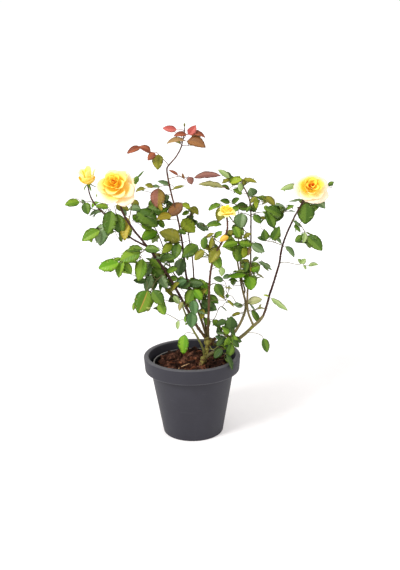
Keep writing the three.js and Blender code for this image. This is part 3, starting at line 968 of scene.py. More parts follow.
def make_bed():
    wall = COMPOST_RADIUS + 0.6 * MM
    verts = [Vector((0, 0, COMPOST_TOP))]
    for ring in range(1, BED_RINGS + 1):
        edge = max(0, (ring / BED_RINGS - BED_EDGE) / (1 - BED_EDGE))
        reach = wall * ring / BED_RINGS
        for at in ring_points(Vector(), Vector((1, 0, 0)), Vector((0, 1, 0)), reach, BED_STEPS):
            lumps = (noise.noise((at.x / width / MM, at.y / width / MM, key)) * high
                     for width, key, high in BED_LUMPS)
            rise = -1.5 + sum(lumps) * (1 - 0.5 * edge) - 2 * edge
            verts.append(Vector((at.x, at.y, COMPOST_TOP + rise * MM)))
    foot = len(verts)
    verts += [Vector((at.x * 0.99, at.y * 0.99, COMPOST_TOP - BED_DEPTH)) for at in verts[foot - BED_STEPS:]]
    verts.append(Vector((0, 0, COMPOST_TOP - BED_DEPTH)))
    faces = [(0, 1 + s, 1 + (s + 1) % BED_STEPS) for s in range(BED_STEPS)]
    for ring in range(BED_RINGS):
        faces += [(first, *rest[::-1]) for first, *rest in band_faces(1 + ring * BED_STEPS, BED_STEPS)]
    faces += [(foot + s, len(verts) - 1, foot + (s + 1) % BED_STEPS) for s in range(BED_STEPS)]
    soil = Finish("compost_dust", roughness=0.95, Specular_IOR_Level=0.02)
    at = soil.place()
    grain = soil.noise(at, 300.0, 6.0, 0.75)
    color = soil.ramp(grain, (0.35, srgb(20, 13, 11)), (0.52, srgb(38, 24, 19)), (0.72, srgb(70, 44, 32)))
    soil.set(Base_Color=color, Roughness=soil.within(grain, 0.85, 1.0),
             Normal=soil.bump(grain, 1.5 * MM, 0.8))
    return settle(add_shape("compost_bed", verts, faces, soil.material), "compost", "compost")


bed = make_bed()
print("bed faces:", len(bed.data.polygons))

# %% A node tree for chips
CHIP_TURNS = {0: (-0.55, -0.55, 0), 1: (0.55, 0.55, math.tau)}
CHIP_SIZES = {0: (0.45, 0.45, 0.5), 1: (1.25, 1.2, 1.3)}
CHIP_GRAIN = 170
FACES_UP = 0.2           # chips lie only on what faces up by more than this


def chip_tree():
    tree = Tree("chips", Density="Float", Chip_Size="Vector", Warp="Float", Lift="Float", Seed="Int",
                Finish="Material")
    given, seed = tree.given, {"Seed": tree.given["Seed"]}
    up = tree.node("ShaderNodeSeparateXYZ", {"Vector": tree.node("GeometryNodeInputNormal")}, output="Z")
    on_top = tree.node("FunctionNodeCompare", {0: up, 1: FACES_UP})
    spread = {"Mesh": given["Geometry"], "Selection": on_top, "Density": given["Density"], **seed}
    points = tree.node("GeometryNodeDistributePointsOnFaces", spread)
    box = tree.node("GeometryNodeMeshCube", {"Vertices X": 4, "Vertices Y": 3, "Vertices Z": 3})
    turn = tree.node("FunctionNodeRandomValue", {**CHIP_TURNS, **seed}, VECTORS)
    size = tree.node("FunctionNodeRandomValue", {**CHIP_SIZES, **seed}, VECTORS)
    size = tree.vector("MULTIPLY", size, given["Chip Size"])
    strewn = {"Points": points, "Instance": box, "Rotation": turn, "Scale": size}
    chips = tree.node("GeometryNodeInstanceOnPoints", strewn)
    chips = tree.node("GeometryNodeRealizeInstances", {"Geometry": chips})
    bend = tree.node("ShaderNodeTexNoise", {"Scale": CHIP_GRAIN, "Detail": 2}, output="Color")
    bend = tree.scaled(tree.vector("SUBTRACT", bend, (0.5, 0.5, 0.5)), given["Warp"])
    lift = tree.node("ShaderNodeCombineXYZ", {"Z": given["Lift"]})
    moved = tree.vector("ADD", bend, lift)
    chips = tree.node("GeometryNodeSetPosition", {"Geometry": chips, "Offset": moved})
    chips = tree.node("GeometryNodeSetShadeSmooth", {"Geometry": chips, "Shade Smooth": False})
    return tree.end(chips, given["Finish"])


CHIP_TREE = chip_tree()
print("chip tree nodes:", len(CHIP_TREE.nodes))


# %% Bark that has been composted
def chip_finish(name, dark, mid, light):
    """Composted bark in three colours by noise, painted darker the lower a spot lies, as painted shade
    between the chips, and a little lighter on top, as painted light.
    """
    wood = Finish(name, roughness=0.85, Specular_IOR_Level=0.03)
    at = wood.place()
    broad = wood.noise(at, 60.0, 3.0, 0.6)
    fine = wood.noise(wood.place((1, 1, 0.5)), 420.0, 4.0, 0.7)
    tone = broad * 0.7 + fine * 0.3
    high = wood.part(at, "Z")
    # Painted shade: the lower a spot lies, the darker, so the gaps between the chips are shaded; the tops go
    # a little lighter, as painted light.
    shade = wood.within(high, 0.22, 1.1, COMPOST_TOP - 3 * MM, COMPOST_TOP + 10 * MM).power(2.2)
    color = wood.ramp(tone, (0.4, dark), (0.53, mid), (0.68, light))
    return wood.set(Base_Color=wood.mix(1.0, color, wood.tint(shade), "MULTIPLY"),
                    Roughness=wood.within(fine, 0.7, 0.95, 0.3, 0.7), Normal=wood.bump(fine, 0.5 * MM, 0.7))


# %% Chips, crumbs and splinters
# Each kind: chips to a square centimetre, size in mm, warp, lift, and its three colours.
CHIP_KINDS = {
    "chips_dark": (0.46, (30, 23, 19), 10, 3.6, srgb(22, 14, 11), srgb(56, 34, 26), srgb(124, 84, 66)),
    "chips_red": (0.3, (20, 15, 12), 7, 5.6, srgb(36, 20, 14), srgb(88, 50, 34), srgb(160, 104, 76)),
    "crumbs": (1.9, (5, 3.6, 2.8), 2.5, 1.2, srgb(14, 10, 8), srgb(36, 23, 17), srgb(88, 54, 36)),
    "splinters": (0.28, (15, 1.8, 1.3), 4, 3.6, srgb(96, 60, 34), srgb(158, 112, 66), srgb(206, 166, 112)),
}


def make_chips(name, seed, density, size, warp, lift, *colors):
    shape = bmesh.new()
    shape.from_mesh(bed.data)
    reach = COMPOST_RADIUS - 0.33 * size[0] * MM
    outside = [vert for vert in shape.verts if vert.co.xy.length > reach]
    bmesh.ops.delete(shape, geom=outside, context="VERTS")
    mesh = bpy.data.meshes.new("compost_" + name)
    shape.to_mesh(mesh)
    shape.free()
    chips = add_object("compost_" + name, mesh)
    chips.data.materials.clear()
    use_tree(chips, CHIP_TREE, Density=density * PER_CM2, Chip_Size=[side * MM for side in size],
             Warp=warp * MM, Lift=lift * MM, Seed=seed, Finish=chip_finish("compost_" + name, *colors))
    return settle(chips, "compost", "compost", smooth=False)


chip_pieces = [make_chips(name, seed, *kind) for seed, (name, kind) in enumerate(CHIP_KINDS.items(), 3)]
print("faces in the chips:", [len(piece.data.polygons) for piece in chip_pieces])

# %% A straw on top
def tube(line, sides=8):
    """The points and faces of a closed tube along a line of places and radii."""
    verts, faces = [], []
    side = Vector((0.31, 0.2, 0.93))
    for i, (place, radius) in enumerate(line):
        ahead = (line[min(i + 1, len(line) - 1)][0] - line[max(i - 1, 0)][0]).normalized()
        side = (side - ahead * side.dot(ahead)).normalized()
        across = ahead.cross(side)
        verts += ring_points(place, side, across, radius, sides)
    for i in range(len(line) - 1):
        faces += band_faces(i * sides, sides)
    faces += [tuple(range(sides))[::-1], tuple(range(len(verts) - sides, len(verts)))]
    return verts, faces


STRAW_FOOT = Vector((-36, -49, 8)) * MM
STRAW_POINTS = 10
STRAW_COLORS = srgb(150, 110, 78), srgb(186, 148, 110), srgb(216, 186, 146)


def make_straw():
    foot = STRAW_FOOT + Vector((0, 0, COMPOST_TOP))
    line = []
    for t in np.linspace(0, 1, STRAW_POINTS).tolist():
        out = Vector((31 * t, 21 * t, 1.5 * math.sin(3 * t) + 5 * t)) * MM
        line.append((foot + out, (1.45 - 0.4 * t) * MM))
    finish = chip_finish("compost_straw", *STRAW_COLORS)
    return settle(add_shape("compost_straw", *tube(zigzag(line, 0.6 * MM)), finish), "compost", "compost")


straw = make_straw()
print("straw faces:", len(straw.data.polygons))

# %% [markdown]
# ## One leaflet
#
# A rose leaf is made of five or seven leaflets, and a leaflet is an oval that ends in a point, with
# a saw-toothed edge, folded a little along its midrib and puckered between its side veins. At this
# size a mesh of some fifty faces can say all of that: seven steps along, a tooth on every step, two
# panels either side of a thin midrib, and a paler underside. The blade comes to an edge at its rim,
# so that each leaflet is a closed solid. Its colour is plain, and what varies over the blade is its
# gloss, and a herringbone of veins that only the light shows.

# %% Tints of leaf
# Each tint: the blade's two shades and the underside, as on a screen. The two shades go on the two halves of
# a leaflet, one lighter: partly the leaf's own variation, and partly painted light and shade, as if one half
# of the fold were turned to the light.
TINTS = {
    # deep: a dark green painted as shade, for leaves low in the bush near the pot.
    "deep": ((46, 74, 18), (64, 92, 32), (88, 108, 66)),
    "dark": ((62, 95, 14), (90, 122, 32), (108, 132, 62)),
    "mid": ((86, 125, 16), (114, 149, 36), (134, 156, 72)),
    "bright": ((88, 140, 8), (112, 158, 26), (142, 172, 68)),
    # grey: a grey-green that is partly the leaf's own colour and partly painted sheen from the white sky.
    "grey": ((82, 112, 60), (116, 143, 92), (124, 144, 92)),
    "olive": ((112, 116, 24), (132, 132, 36), (150, 148, 74)),
    "greyolive": ((130, 132, 72), (146, 146, 88), (154, 154, 104)),
    "yellowgreen": ((138, 162, 28), (156, 176, 44), (172, 184, 84)),
    "turning": ((158, 102, 82), (150, 122, 54), (160, 130, 90)),
    "veined": ((72, 112, 14), (102, 134, 30), (168, 178, 90)),
    "slate": ((58, 94, 46), (82, 118, 68), (110, 132, 86)),
    "cream": ((166, 174, 112), (184, 188, 132), (192, 194, 150)),
    "yellow": ((160, 142, 34), (176, 158, 48), (184, 170, 84)),
    # pale: a pale green that is partly the leaf's own colour and partly painted sheen.
    "pale": ((134, 162, 88), (158, 182, 112), (168, 186, 122)),
    "tan": ((156, 122, 74), (174, 138, 88), (182, 152, 108)),
    "orange": ((206, 156, 44), (230, 186, 76), (214, 176, 100)),
    "bronze": ((128, 84, 46), (146, 98, 54), (150, 116, 80)),
    "redbrown": ((128, 62, 36), (156, 84, 52), (160, 104, 74)),
    "pink": ((182, 82, 74), (198, 102, 92), (196, 116, 102)),
    "rose": ((126, 80, 70), (144, 98, 84), (160, 112, 96)),
}
VEINS = 7
SUN = (1.13, 1.06, 1.1)          # green blades are lit through a little, and so are lighter and warmer
VEINED_RIB = srgb(170, 138, 62)
GLOSS = {"grey": 0.5, "pale": 0.5}
DULL = 0.3


def leaf_blade(name, color, gloss):
    """A plain colour, with gloss that comes and goes and a herringbone of fine veins."""
    blade = Finish(name, color, 0.45, Specular_IOR_Level=gloss)
    uv = blade.node("ShaderNodeUVMap")
    along, across = blade.part(uv, "X"), blade.part(uv, "Y")
    out = blade.maths("ABSOLUTE", across - 0.5) * 2
    vein = blade.maths("PINGPONG", (along - out * 0.22) * VEINS, 0.5)
    pucker = blade.maths("SQRT", vein)
    cloud = blade.noise(blade.place(), 160.0, 2.0)
    return blade.set(Roughness=blade.within(cloud, 0.34, 0.58, 0.3, 0.7),
                     Normal=blade.bump(pucker, 1.2 * MM, 0.5))


def leaf_under(name, color):
    under = Finish(name, color, 0.75, Specular_IOR_Level=0.2)
    fuzz = under.noise(under.place(), 900.0, 2.0)
    return under.set(Roughness=under.within(fuzz, 0.65, 0.85), Normal=under.bump(fuzz, 0.2 * MM, 0.4))


def sunlit(color):
    red, green, _ = color
    return tuple(channel * more for channel, more in zip(color, SUN)) if green >= red else color


LEAF_FINISHES = {}
for tint, shades in TINTS.items():
    first, second, below = (srgb(*shade) for shade in shades)
    rib = tuple(channel * 0.6 + 0.4 * other for channel, other in zip(first, below))
    if tint == "veined":
        rib = VEINED_RIB
    gloss = GLOSS.get(tint, DULL)
    name = "leaf_" + tint
    LEAF_FINISHES[tint] = (leaf_blade(name + "_a", sunlit(first), gloss),
                           leaf_blade(name + "_b", sunlit(second), gloss),
                           leaf_under(name + "_rib", rib), leaf_under(name + "_under", below))
print("leaf finishes:", 4 * len(LEAF_FINISHES))

# %% The leaflet's mesh
STATIONS = (0, 0.1, 0.24, 0.41, 0.58, 0.74, 0.88, 1)
HALF_WIDTHS = (0.06, 0.6, 0.92, 1.0, 0.93, 0.72, 0.41, 0)
STEPS = np.array(STATIONS)
TOP_ROWS = (-1, -0.48, -0.06, 0.06, 0.48, 1)
TOOTH = 0.065
LEAF_THICKNESS = 0.45 * MM


def leaflet_plan():
    """A flat leaflet: for each point its place along, its share across, and 1, 0 or -1 for the top,
    the rim or the underside; then the faces, and the finish that each takes."""
    points, faces, kinds = [], [], []

    def add(along, across, side):
        points.append((along, across, side))
        return len(points) - 1

    last = len(STATIONS) - 1
    tip = add(1, 0, 0)
    rows = []
    for along, half in list(zip(STATIONS, HALF_WIDTHS))[:last]:
        row = [add(along, half * share, 0 if abs(share) == 1 else 1) for share in TOP_ROWS]
        rows.append((row, add(along, 0, -1)))
    teeth = []
    for i in range(last):
        along = STATIONS[i] + 0.72 * (STATIONS[i + 1] - STATIONS[i])
        half = HALF_WIDTHS[i] * 0.28 + HALF_WIDTHS[i + 1] * 0.72 + TOOTH
        teeth.append((add(along, -half, 0), add(along, half, 0)))
    for i in range(last):
        row, under = rows[i]
        ahead, under_ahead = rows[i + 1] if i + 1 < last else ([tip] * 6, tip)
        left, right = teeth[i]
        for k in range(5):
            face = [row[k], ahead[k], ahead[k + 1], row[k + 1]]
            if k == 0:
                face = [row[0], left, ahead[0], ahead[1], row[1]]
            if k == 4:
                face = [row[4], ahead[4], ahead[5], right, row[5]]
            faces.append(list(dict.fromkeys(face))[::-1])
            kinds.append(("left", "left", "rib", "right", "right")[k])
        faces.append(list(dict.fromkeys([row[0], left, ahead[0], under_ahead, under])))
        faces.append(list(dict.fromkeys([under, under_ahead, ahead[5], right, row[5]])))
        kinds += ["under", "under"]
    first_row, first_under = rows[0]
    faces.append([first_under, *first_row[::-1]][::-1])
    kinds.append("under")
    return np.array(points, float), faces, kinds


LEAF_POINTS, LEAF_FACES, LEAF_KINDS = leaflet_plan()


def shaped_leaflet(base, tip, normal, ratio, chance, arch=None):
    """The points of one leaflet between two places, folded, arched and puckered by chance."""
    ahead = tip - base
    length = ahead.length
    ahead.normalize()
    side = normal.cross(ahead).normalized()
    normal = ahead.cross(side)
    fold, given = chance.uniform(0.1, 0.34), chance.uniform(-0.02, 0.13)
    arch = given if arch is None else arch
    twist, wave, phase = chance.uniform(-0.25, 0.25), chance.uniform(0.008, 0.03), chance.uniform(0, 1)
    sweep = chance.uniform(-0.05, 0.05)
    along, across, skin = LEAF_POINTS.T
    half = length * ratio / 2
    out = np.abs(across)
    x = along * length
    y = across * half * (1 - 0.35 * fold) + sweep * length * 4 * along * (1 - along)
    arched = np.interp(along, STATIONS, 4 * STEPS * (1 - STEPS))
    waved = np.interp(along, STATIONS, np.sin(math.tau * (2.5 * STEPS + phase)))
    z = out * half * fold + arch * length * arched + twist * across * half * along
    z = z + wave * length * waved * out
    z = z - 0.02 * length * np.sin(math.pi * VEINS * along) ** 2 * out * (1 - out)
    z = z + skin * LEAF_THICKNESS / 2
    return (np.array(base) + np.outer(x, ahead) + np.outer(y, side) + np.outer(z, normal))


test = shaped_leaflet(Vector(), Vector((40, 0, 0)) * MM, Vector((0, 0, 1)), 0.65, np.random.default_rng(1))
print("a leaflet has", len(LEAF_POINTS), "points and", len(LEAF_FACES), "faces;",
      "its size is", (test.max(axis=0) - test.min(axis=0)).round(3))

# %% [markdown]
# ## Where the leaves go
#
# The plain masses say how much room each spray of leaves takes. The leaves that lead a spray, the
# ones the eye picks out from the front, are listed below. Each is its tint, then the places of
# its foot and its point, across and up, in tenths of the mass's half width and half height as the
# viewer sees them, and how many degrees it's turned from facing the viewer. Now and then its width
# (w, as a share of its length), its arch (a) or its depth (y, in mm) follows. Everything else is dealt
# by chance with a fixed seed: depth within the mass, fold, arch and shade.

# %% Leading leaves
LEADING = {
    "crown_tip_leaves":
        "pink -3.6 3.8 -10.7 5.2 15 w.5, pink 2.9 -.2 6.6 6.8 0 w.72, redbrown 1.7 0 -5 -1 35 w.5 a.22, "
        "redbrown 3.5 0 11.4 -2.8 40 w.52 a.18, tan .3 -4.4 -8.8 -7 50 w.5 a.12, "
        "bronze 1.9 -5.2 11.4 -10.2 30 w.6 a.15",
    "bronze_left_leaves":
        "redbrown -2.7 8.7 -10 3.4 35 w.56 a.14, redbrown 3 3.8 -3.4 8.8 35 w.6 a.18, "
        "redbrown 5.4 3.4 1.4 -3 10 w.7, olive 7.5 1.8 6.7 -11.5 0 w.75",
    "bronze_right_leaves":
        "redbrown -7.5 3.2 -11 8.2 30 w.35, bronze -5 -1.2 -5.9 5 30 w.4, "
        "rose -3.2 1 -2.1 -6.5 10 w.95, rose -1 0 9.2 1.5 45 w.32 a.1, "
        "greyolive 10.6 -10.5 1 -7 45 w.34 a.1",
    "tall_middle_leaves":
        "olive -13 9 -19 7 45, olive -8 10 -13 11 30, grey -4 10 -9 10 50, grey 2 11 -5 13 50, "
        "olive 4 8 12 10 50 w.32, turning -4.8 9 -5.7 -2 0 w.8, yellow -4 0 -3 -4 20, "
        "bronze 10 0 1 -7 20, yellow 3 -7 -6 -9 35",
    "left_top_leaves":
        "grey -4 6 -11 6 20, olive -5 8 -10 10 40, dark -6 5 5 -3 15, dark 0 6 11 4 20, "
        "mid 6 0 9 -4 30, mid -9 3 -4 -1 30, mid -4 -2 2 -5 30, bright 5 -6 -4 -10 15, "
        "pale 6 -8 2 -12 30",
    "left_upper_leaves":
        "dark 2 10 0 -4 10, dark 4 8 6 -4 15, yellow 8 6 7 -8 10 w.5 y-40, grey 8 7 6 11 30, "
        "olive 4 13 9 10 35, mid 1 12 -4 13 40, mid -3 -2 -10 -8 20, grey 0 2 -3 -11 30",
    "far_left_leaves":
        "mid -3 5 -10 2 30, dark 0 4 1 -8 10 w.8, grey 0 3 -2 7 50, grey 9 -6 2 -10 65",
    "left_middle_leaves":
        "bright -2 2 -10 -1 10, mid 0 3 -2 -7 40, mid 0 2 3 -5 20, mid 7 8 -1 3 15, dark 8 10 2 9 50, "
        "mid 8 4 6 -9 20, deep 9 -10 4 -9 25, dark 9 10 15 9 20 y-78",
    "left_inner_leaves":
        "olive 12 -8 18 -3 45, pale 14 -11 18 -16 30, mid 17 6 10 3 35, grey 1 12 6 12 40, "
        "grey 6 2 10 -6 15, grey -1 9 -3 1 20, grey 0 2 -4 -7 10, dark 1 6 10 -1 10, mid 0 12 6 6 25, "
        "dark 3 0 1 -7 15, dark 6 10 16 12 45",
    "left_lower_leaves":
        "veined -1 11 -7 -6 0 w.8, dark 2 11 8 0 10 w.75, mid 6 1 9 -8 10",
    "inner_top_leaves":
        "yellowgreen -8 -1 4 -9 0 w.8, yellowgreen -8 9 0 6 40, olive -1 6 8 2 35, mid -1 4 -8 2 30, "
        "grey 6 -4 18 -8 40, mid 16 -5 31 -5 60",
    "centre_leaves":
        "olive 0 5 -10 10 10, yellowgreen -4 3 -9 -3 10, dark -1 3 -3 -7 15, dark 9 1 1 -6 15, "
        "grey 1 -7 -1 -18 5 w.7, dark -1 11 3 9 20",
    "low_centre_leaves":
        "olive -12 -2 -16 3 40, olive 1 -3 7 2 35, mid 10 -22 14 -28 20, slate -10 5 -4 9 30, "
        "bright -6 12 -8 4 5 w.8, mid -9 11 -14 10 20, deep -3 7 5 6 25, bright 4 6 8 -2 5, "
        "deep -2 7 -7 3 20, mid -1 2 -4 -9 10 w.75, bright 0 2 4 -6 15, deep 4 -7 12 -14 10 w.7, "
        "dark 7 -3 13 -9 35, deep -8 -4 -14 -7 15 w.8, mid 6 -20 8 -27 15, olive 5 -13 4 -21 20, "
        "grey 2 -15 8 -16 40, dark 12 6 16 -4 5 w.7, dark 18.3 -2.2 18.3 -5 5 w.9, "
        "olive 16.8 -6 13.3 -2.8 40 w.36, olive 18 -6.5 21.5 -11.8 35 w.36, "
        "grey 24.7 -9.3 21.4 -10.4 15 w.6, dark 15 -12 18 -15 60 w.25, greyolive 17 3 21 2 40 w.3, "
        "deep -16 10 -12 5 15, olive -13 16 -18 13 30, mid -18 -6 -16 -12 20",
    "front_leaves":
        "slate 4 10 5 0 5 w.7, slate 3 2 2 -9 0 w.75, greyolive -5 9 -8 3 40, pale -9 -4 -10 -10 30",
    "middle_leaves":
        "dark -4 10 -5 2 5, olive -5 1 -12 -5 35, olive 6 3 -1 -7 10, mid 3 -2 7 -11 5 w.75, "
        "pale 8 -10 8 -16 20, olive 3 12 -4 8 60, olive 2 10 0 2 60, mid 3 9 9 13 40, "
        "orange 13.5 10 7 7 20 y-68",
    "right_middle_leaves":
        "mid 1 -4 -9 -6 35, olive -7 -1 -2 3 20, mid -1 5 2 -1 10, mid 2 -4 11 -5 30, "
        "mid 2 -5 1 -14 5 w.75, grey 4 12 3 4 0 w.95, yellowgreen 6 -6 5 -12 30, olive 5 -1 10 1 40, "
        "tan 9 -6 8 -11 50",
    "right_upper_leaves":
        "dark -3 -2 2 -7 20, dark -6 1 -10 3 30, mid -10 -1 -15 -7 60, dark -5 0 -2 5 30, "
        "olive 3 0 5 6 40, yellowgreen 4.6 6.5 5.4 -6.7 25 w.5, olive 8 6 13 -5 50, dark 3 -3 5 -10 20, "
        "dark 3 -4 1 -10 30, olive -9 -4 -11 -19 15 w.75, mid -2 -5 -6 -9 30",
    "right_top_leaves":
        "pale -4 4 -10 11 25 w.42, yellowgreen -4 0 3 2 40, olive -4 3 -8 -1 40, pale 2 -1 2 -9 30, "
        "olive 4 2 11 -1 40 w.42, mid 3 -11 -2 -7 30, grey 9 -13.4 7.6 -5.8 10 w1.1, "
        "dark -4 -7 -8 -3 50, olive 4 -3 5 4 40",
    "right_outer_leaves":
        "dark 3 -1 -5 6 20, dark 4 2 0 -7 15, dark -5 3 -1 -13 30, mid -4 -2 -7 3 40, "
        "dark -12 0 -8 -8 25, grey 6 5 -1 8 65, grey 7 3 11 2 65, mid 6 5 10 8 45",
    "right_pair_leaves":
        "dark 0 -1 -1 8 5 w.8, dark 5 -1 10 10 10, grey 0 -1 -6 1 40, grey -10 -4 -1 -11 10",
    "right_low_leaves":
        "bright -2 0 -11 -2 35 w.42, grey -10 -1 -14 -3 20, bright 0 -2 1 -13 0 w.98, "
        "bright 1 3 5 5 10, dark -1 10 -2 2 30, grey 5 10 12 3 45 w.36, greyolive 4 0 8 -4 60 w.4, "
        "dark -6 -6 -11 -5 60, yellow 1 6 1 2 30, grey -14 -5 -19 -3 25",
    "right_base_leaves":
        "cream 1 6 12 9 20, grey -3 3 -9 3 15, olive -5 -5 -12 -7 30 w.45, dark 4 -2 10 -15 25 w.45, "
        "greyolive 8 0 15 -1 50 w.4, cream 10 1 12 4 40",
    "right_bloom_leaves":
        "pale -4.6 7.6 -10 5.4 20 w.42, dark 7 7 9 9 20, dark -1 -2 -1 -13 0 w.85, grey 2 -1 6 -5 35, "
        "grey 4 0 6 -2 45, grey -2 0 -7 -1 50 w.25",
    "right_side_leaves":
        "dark -8 6 -4 1 35, dark -2 -2 -7 -6 5, pale -1 1 -2 -7 35, dark 1 -2 10 -13 10, "
        "grey -9 10 -4 5 65",
    "low_right_leaves":
        "deep -1 11 -8 9 20, deep 2 6.6 2.5 13.4 5 w.98, deep -6 3 -7.5 7.5 20 w.6, "
        "slate -1 0 -9 2.5 15 w.6, mid 1 2 -2 -5 20 w.7, dark 3 -2 0 -9 25, mid 4 3 6 -4 30, "
        "deep -6 8 -5 4 30, mid 1 4 -4 8 20, deep 2 9 3 4 25, grey -3 4 -8 4 35, deep -4 1 -8 -3 10, "
        "deep -3 1 1 -4 5 w.8, deep -4 -5 -10 -10 10, deep 2 1 10 -1 30, deep 4 0 8 -4 20, "
        "deep -1 -8 3 -17 50 w.45",
}
# Single leaves on bare wood: the limb and the height they grow from, then foot and point in mm from there.
SINGLE = (
    ("green_cane", 295, "bright -20 4 -15 -24 -2 -65 20 w.64"),
    ("right_cane_foot", 270, "dark 38 -13 -16 48 -17 -53 25 w.6, olive 3 -6 8 14 -16 14 40"),
    ("right_cane", 453, "pale 52 -14 -2 62 -20 12 10 w.75, pale 54 -12 -2 42 -18 10 30, "
                        "pale 70 -16 -7 94 -22 -4 50, pale 58 -14 -6 64 -18 -17 40"),
    ("right_cane", 360, "pale 5 -4 -4 46 -16 -34 30 w.3, yellowgreen -1 -4 1 -17 -12 7 40 w.35"),
    ("right_tall_cane", 440, "grey 4 -6 2 20 -18 14 50, olive -3 -6 -2 -20 -14 6 40"),
    ("right_cane", 498, "grey 6 -4 -4 27 -12 -31 30 w.5, grey -3 2 3 -18 -10 14 50"),
)

MASSES = sorted(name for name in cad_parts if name.endswith("_leaves"))
LONGER = 0.05            # a leading leaf's point goes this much further
chance = np.random.default_rng(2026)
leaves = []              # each leaf: its mass, tint, foot, point, the way it faces, its width and arch


class Mass:
    """A mass of leaves: its box, and its place as the viewer sees it on the plane of the pot's middle."""

    def __init__(self, name):
        low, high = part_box(name)
        self.name, self.middle, self.half = name, (low + high) / 2, (high - low) / 2

    def place(self, across, up, depth):
        """The place at a depth that the viewer sees at so many tenths of the mass's half sizes."""
        scale = self.seen_scale(self.middle.y)
        x = (self.middle.x - CAMERA_AT.x + across / 10 * self.half.x) / scale
        z = (self.middle.z - CAMERA_AT.z + up / 10 * self.half.z) / scale
        back = self.seen_scale(depth)
        return Vector((CAMERA_AT.x + x * back, depth, CAMERA_AT.z + z * back))

    @staticmethod
    def seen_scale(depth):
        return (depth - CAMERA_AT.y) / -CAMERA_AT.y


def seen(place):
    """Where the viewer sees a place, on the plane of the pot's middle."""
    scale = Mass.seen_scale(place.y)
    return Vector(((place.x - CAMERA_AT.x) / scale, (place.z - CAMERA_AT.z) / scale + CAMERA_AT.z))


def facing(foot, point, degrees):
    """The way a blade faces: toward the viewer, then turned about its own length."""
    ahead = (point - foot).normalized()
    front = CAMERA_AT - foot
    front = (front - ahead * front.dot(ahead)).normalized()
    side = ahead.cross(front)
    outward = Vector((foot.x - STUMP_AT.x, foot.y - STUMP_AT.y, 0)).normalized()
    if side.z * 2 + side.dot(outward) < 0:
        side = -side
    turn = math.radians(degrees)
    return front * math.cos(turn) + side * math.sin(turn)


def words_of(text):
    """The parts of one leaf's text: tint, numbers and width, then depth and arch, or None for each."""
    parts = text.split()
    given = {part[0]: float(part[1:]) for part in parts[1:] if part[0] in "wya"}
    numbers = [float(part) for part in parts[1:] if part[0] not in "wya"]
    return parts[0], numbers, given.get("w", chance.uniform(0.6, 0.75)), given.get("y"), given.get("a")


def lead(mass):
    """The leading leaves of a mass; each point leans a little towards the viewer."""
    for text in filter(None, LEADING.get(mass.name, "").split(",")):
        tint, (foot_x, foot_z, tip_x, tip_z, turn), width, depth, arch = words_of(text)
        if depth is None:
            depth = mass.middle.y / MM + mass.half.y / MM * chance.uniform(-0.6, 0.2)
        foot = mass.place(foot_x, foot_z, depth * MM)
        flat = mass.place(tip_x, tip_z, depth * MM)
        flat = flat + (flat - foot) * LONGER
        forward = (flat - foot).length * chance.uniform(0.0, 0.4)
        nearer = (depth * MM - forward - CAMERA_AT.y) / (flat.y - CAMERA_AT.y)
        point = CAMERA_AT + (flat - CAMERA_AT) * nearer
        leaves.append((mass.name, tint, foot, point, facing(foot, point, turn), width, arch))


def at_height(limb, height):
    return min(limb_lines[limb], key=lambda point: abs(point[0].z - height))[0]


def lead_single(limb, height, words):
    near = at_height(limb, height * MM)
    for text in words.split(","):
        tint, numbers, width, _, arch = words_of(text)
        foot, point = near + Vector(numbers[:3]) * MM, near + Vector(numbers[3:6]) * MM
        leaves.append((limb, tint, foot, point, facing(foot, point, numbers[6]), width, arch))


masses = {name: Mass(name) for name in MASSES}
for mass in masses.values():
    lead(mass)
for limb, height, words in SINGLE:
    lead_single(limb, height, words)
leading_count = len(leaves)
print("leading leaves:", leading_count)

# %% [markdown]
# ## The leaves behind
#
# A bush is as deep as it is wide, so behind each leading leaf grow others that only show from the
# side. They keep behind it on the viewer's line of sight, and so the sky still comes through where
# the bush is open. Then every mass but the young red ones is filled by trying places in it, the ones
# at the back most, and a leaf is kept when it would be hidden by the leading ones and isn't too close
# to one already there.

# %% Followers and fill
SHADES_BEHIND = {
    "dark": ("dark", "mid", "dark", "grey"), "deep": ("deep", "dark"), "slate": ("dark", "slate"),
    "mid": ("mid", "dark", "mid", "bright"), "bright": ("mid", "bright"), "veined": ("yellowgreen", "mid"),
    "grey": ("dark", "grey", "mid"), "greyolive": ("olive", "grey"), "olive": ("olive", "mid", "dark"),
    "pale": ("mid", "pale", "bright"), "cream": ("pale", "mid"), "yellow": ("olive", "mid"),
    "yellowgreen": ("yellowgreen", "mid", "olive"), "orange": ("mid", "olive"), "tan": ("olive", "bronze"),
    "turning": ("redbrown", "olive"), "bronze": ("bronze", "olive"), "redbrown": ("redbrown", "bronze"),
    "pink": ("pink", "redbrown"), "rose": ("rose", "redbrown"),
}
FILL_SHADES = ("dark", "dark", "mid", "mid", "bright", "grey", "olive")
# How far past the leading leaves' outlines the followers of a mass may show.
LOOSE = {
    "centre_leaves": 1.5, "low_centre_leaves": 1.5, "middle_leaves": 1.45, "low_right_leaves": 1.4,
    "inner_top_leaves": 1.3, "right_upper_leaves": 1.3, "left_inner_leaves": 1.25,
    "right_middle_leaves": 1.25, "left_middle_leaves": 1.2, "left_upper_leaves": 1.2,
    "left_top_leaves": 1.2, "right_outer_leaves": 1.2,
}
RED_MASSES = ("crown_tip_leaves", "bronze_left_leaves", "bronze_right_leaves")
SPACE = 13 * MM          # between the middles of two leaves
BUSH_MIDDLE_X = 20 * MM
FOLLOW_ROUNDS = 3
FILL_AT_BACK, FILL_INSIDE = 26, 7
# Each leading leaf as an oval, as the viewer sees it: middle, way, half length and half width, and depth.
ovals = []
for _, _, foot, point, _, width, _ in leaves:
    a, b = seen(foot), seen(point)
    half = (b - a).length / 2
    ovals.append(((a + b) / 2, (b - a).normalized(), (half, half * width), (foot.y + point.y) / 2))
oval_middles, oval_ways, oval_sizes, oval_depths = (np.array(column) for column in zip(*ovals))


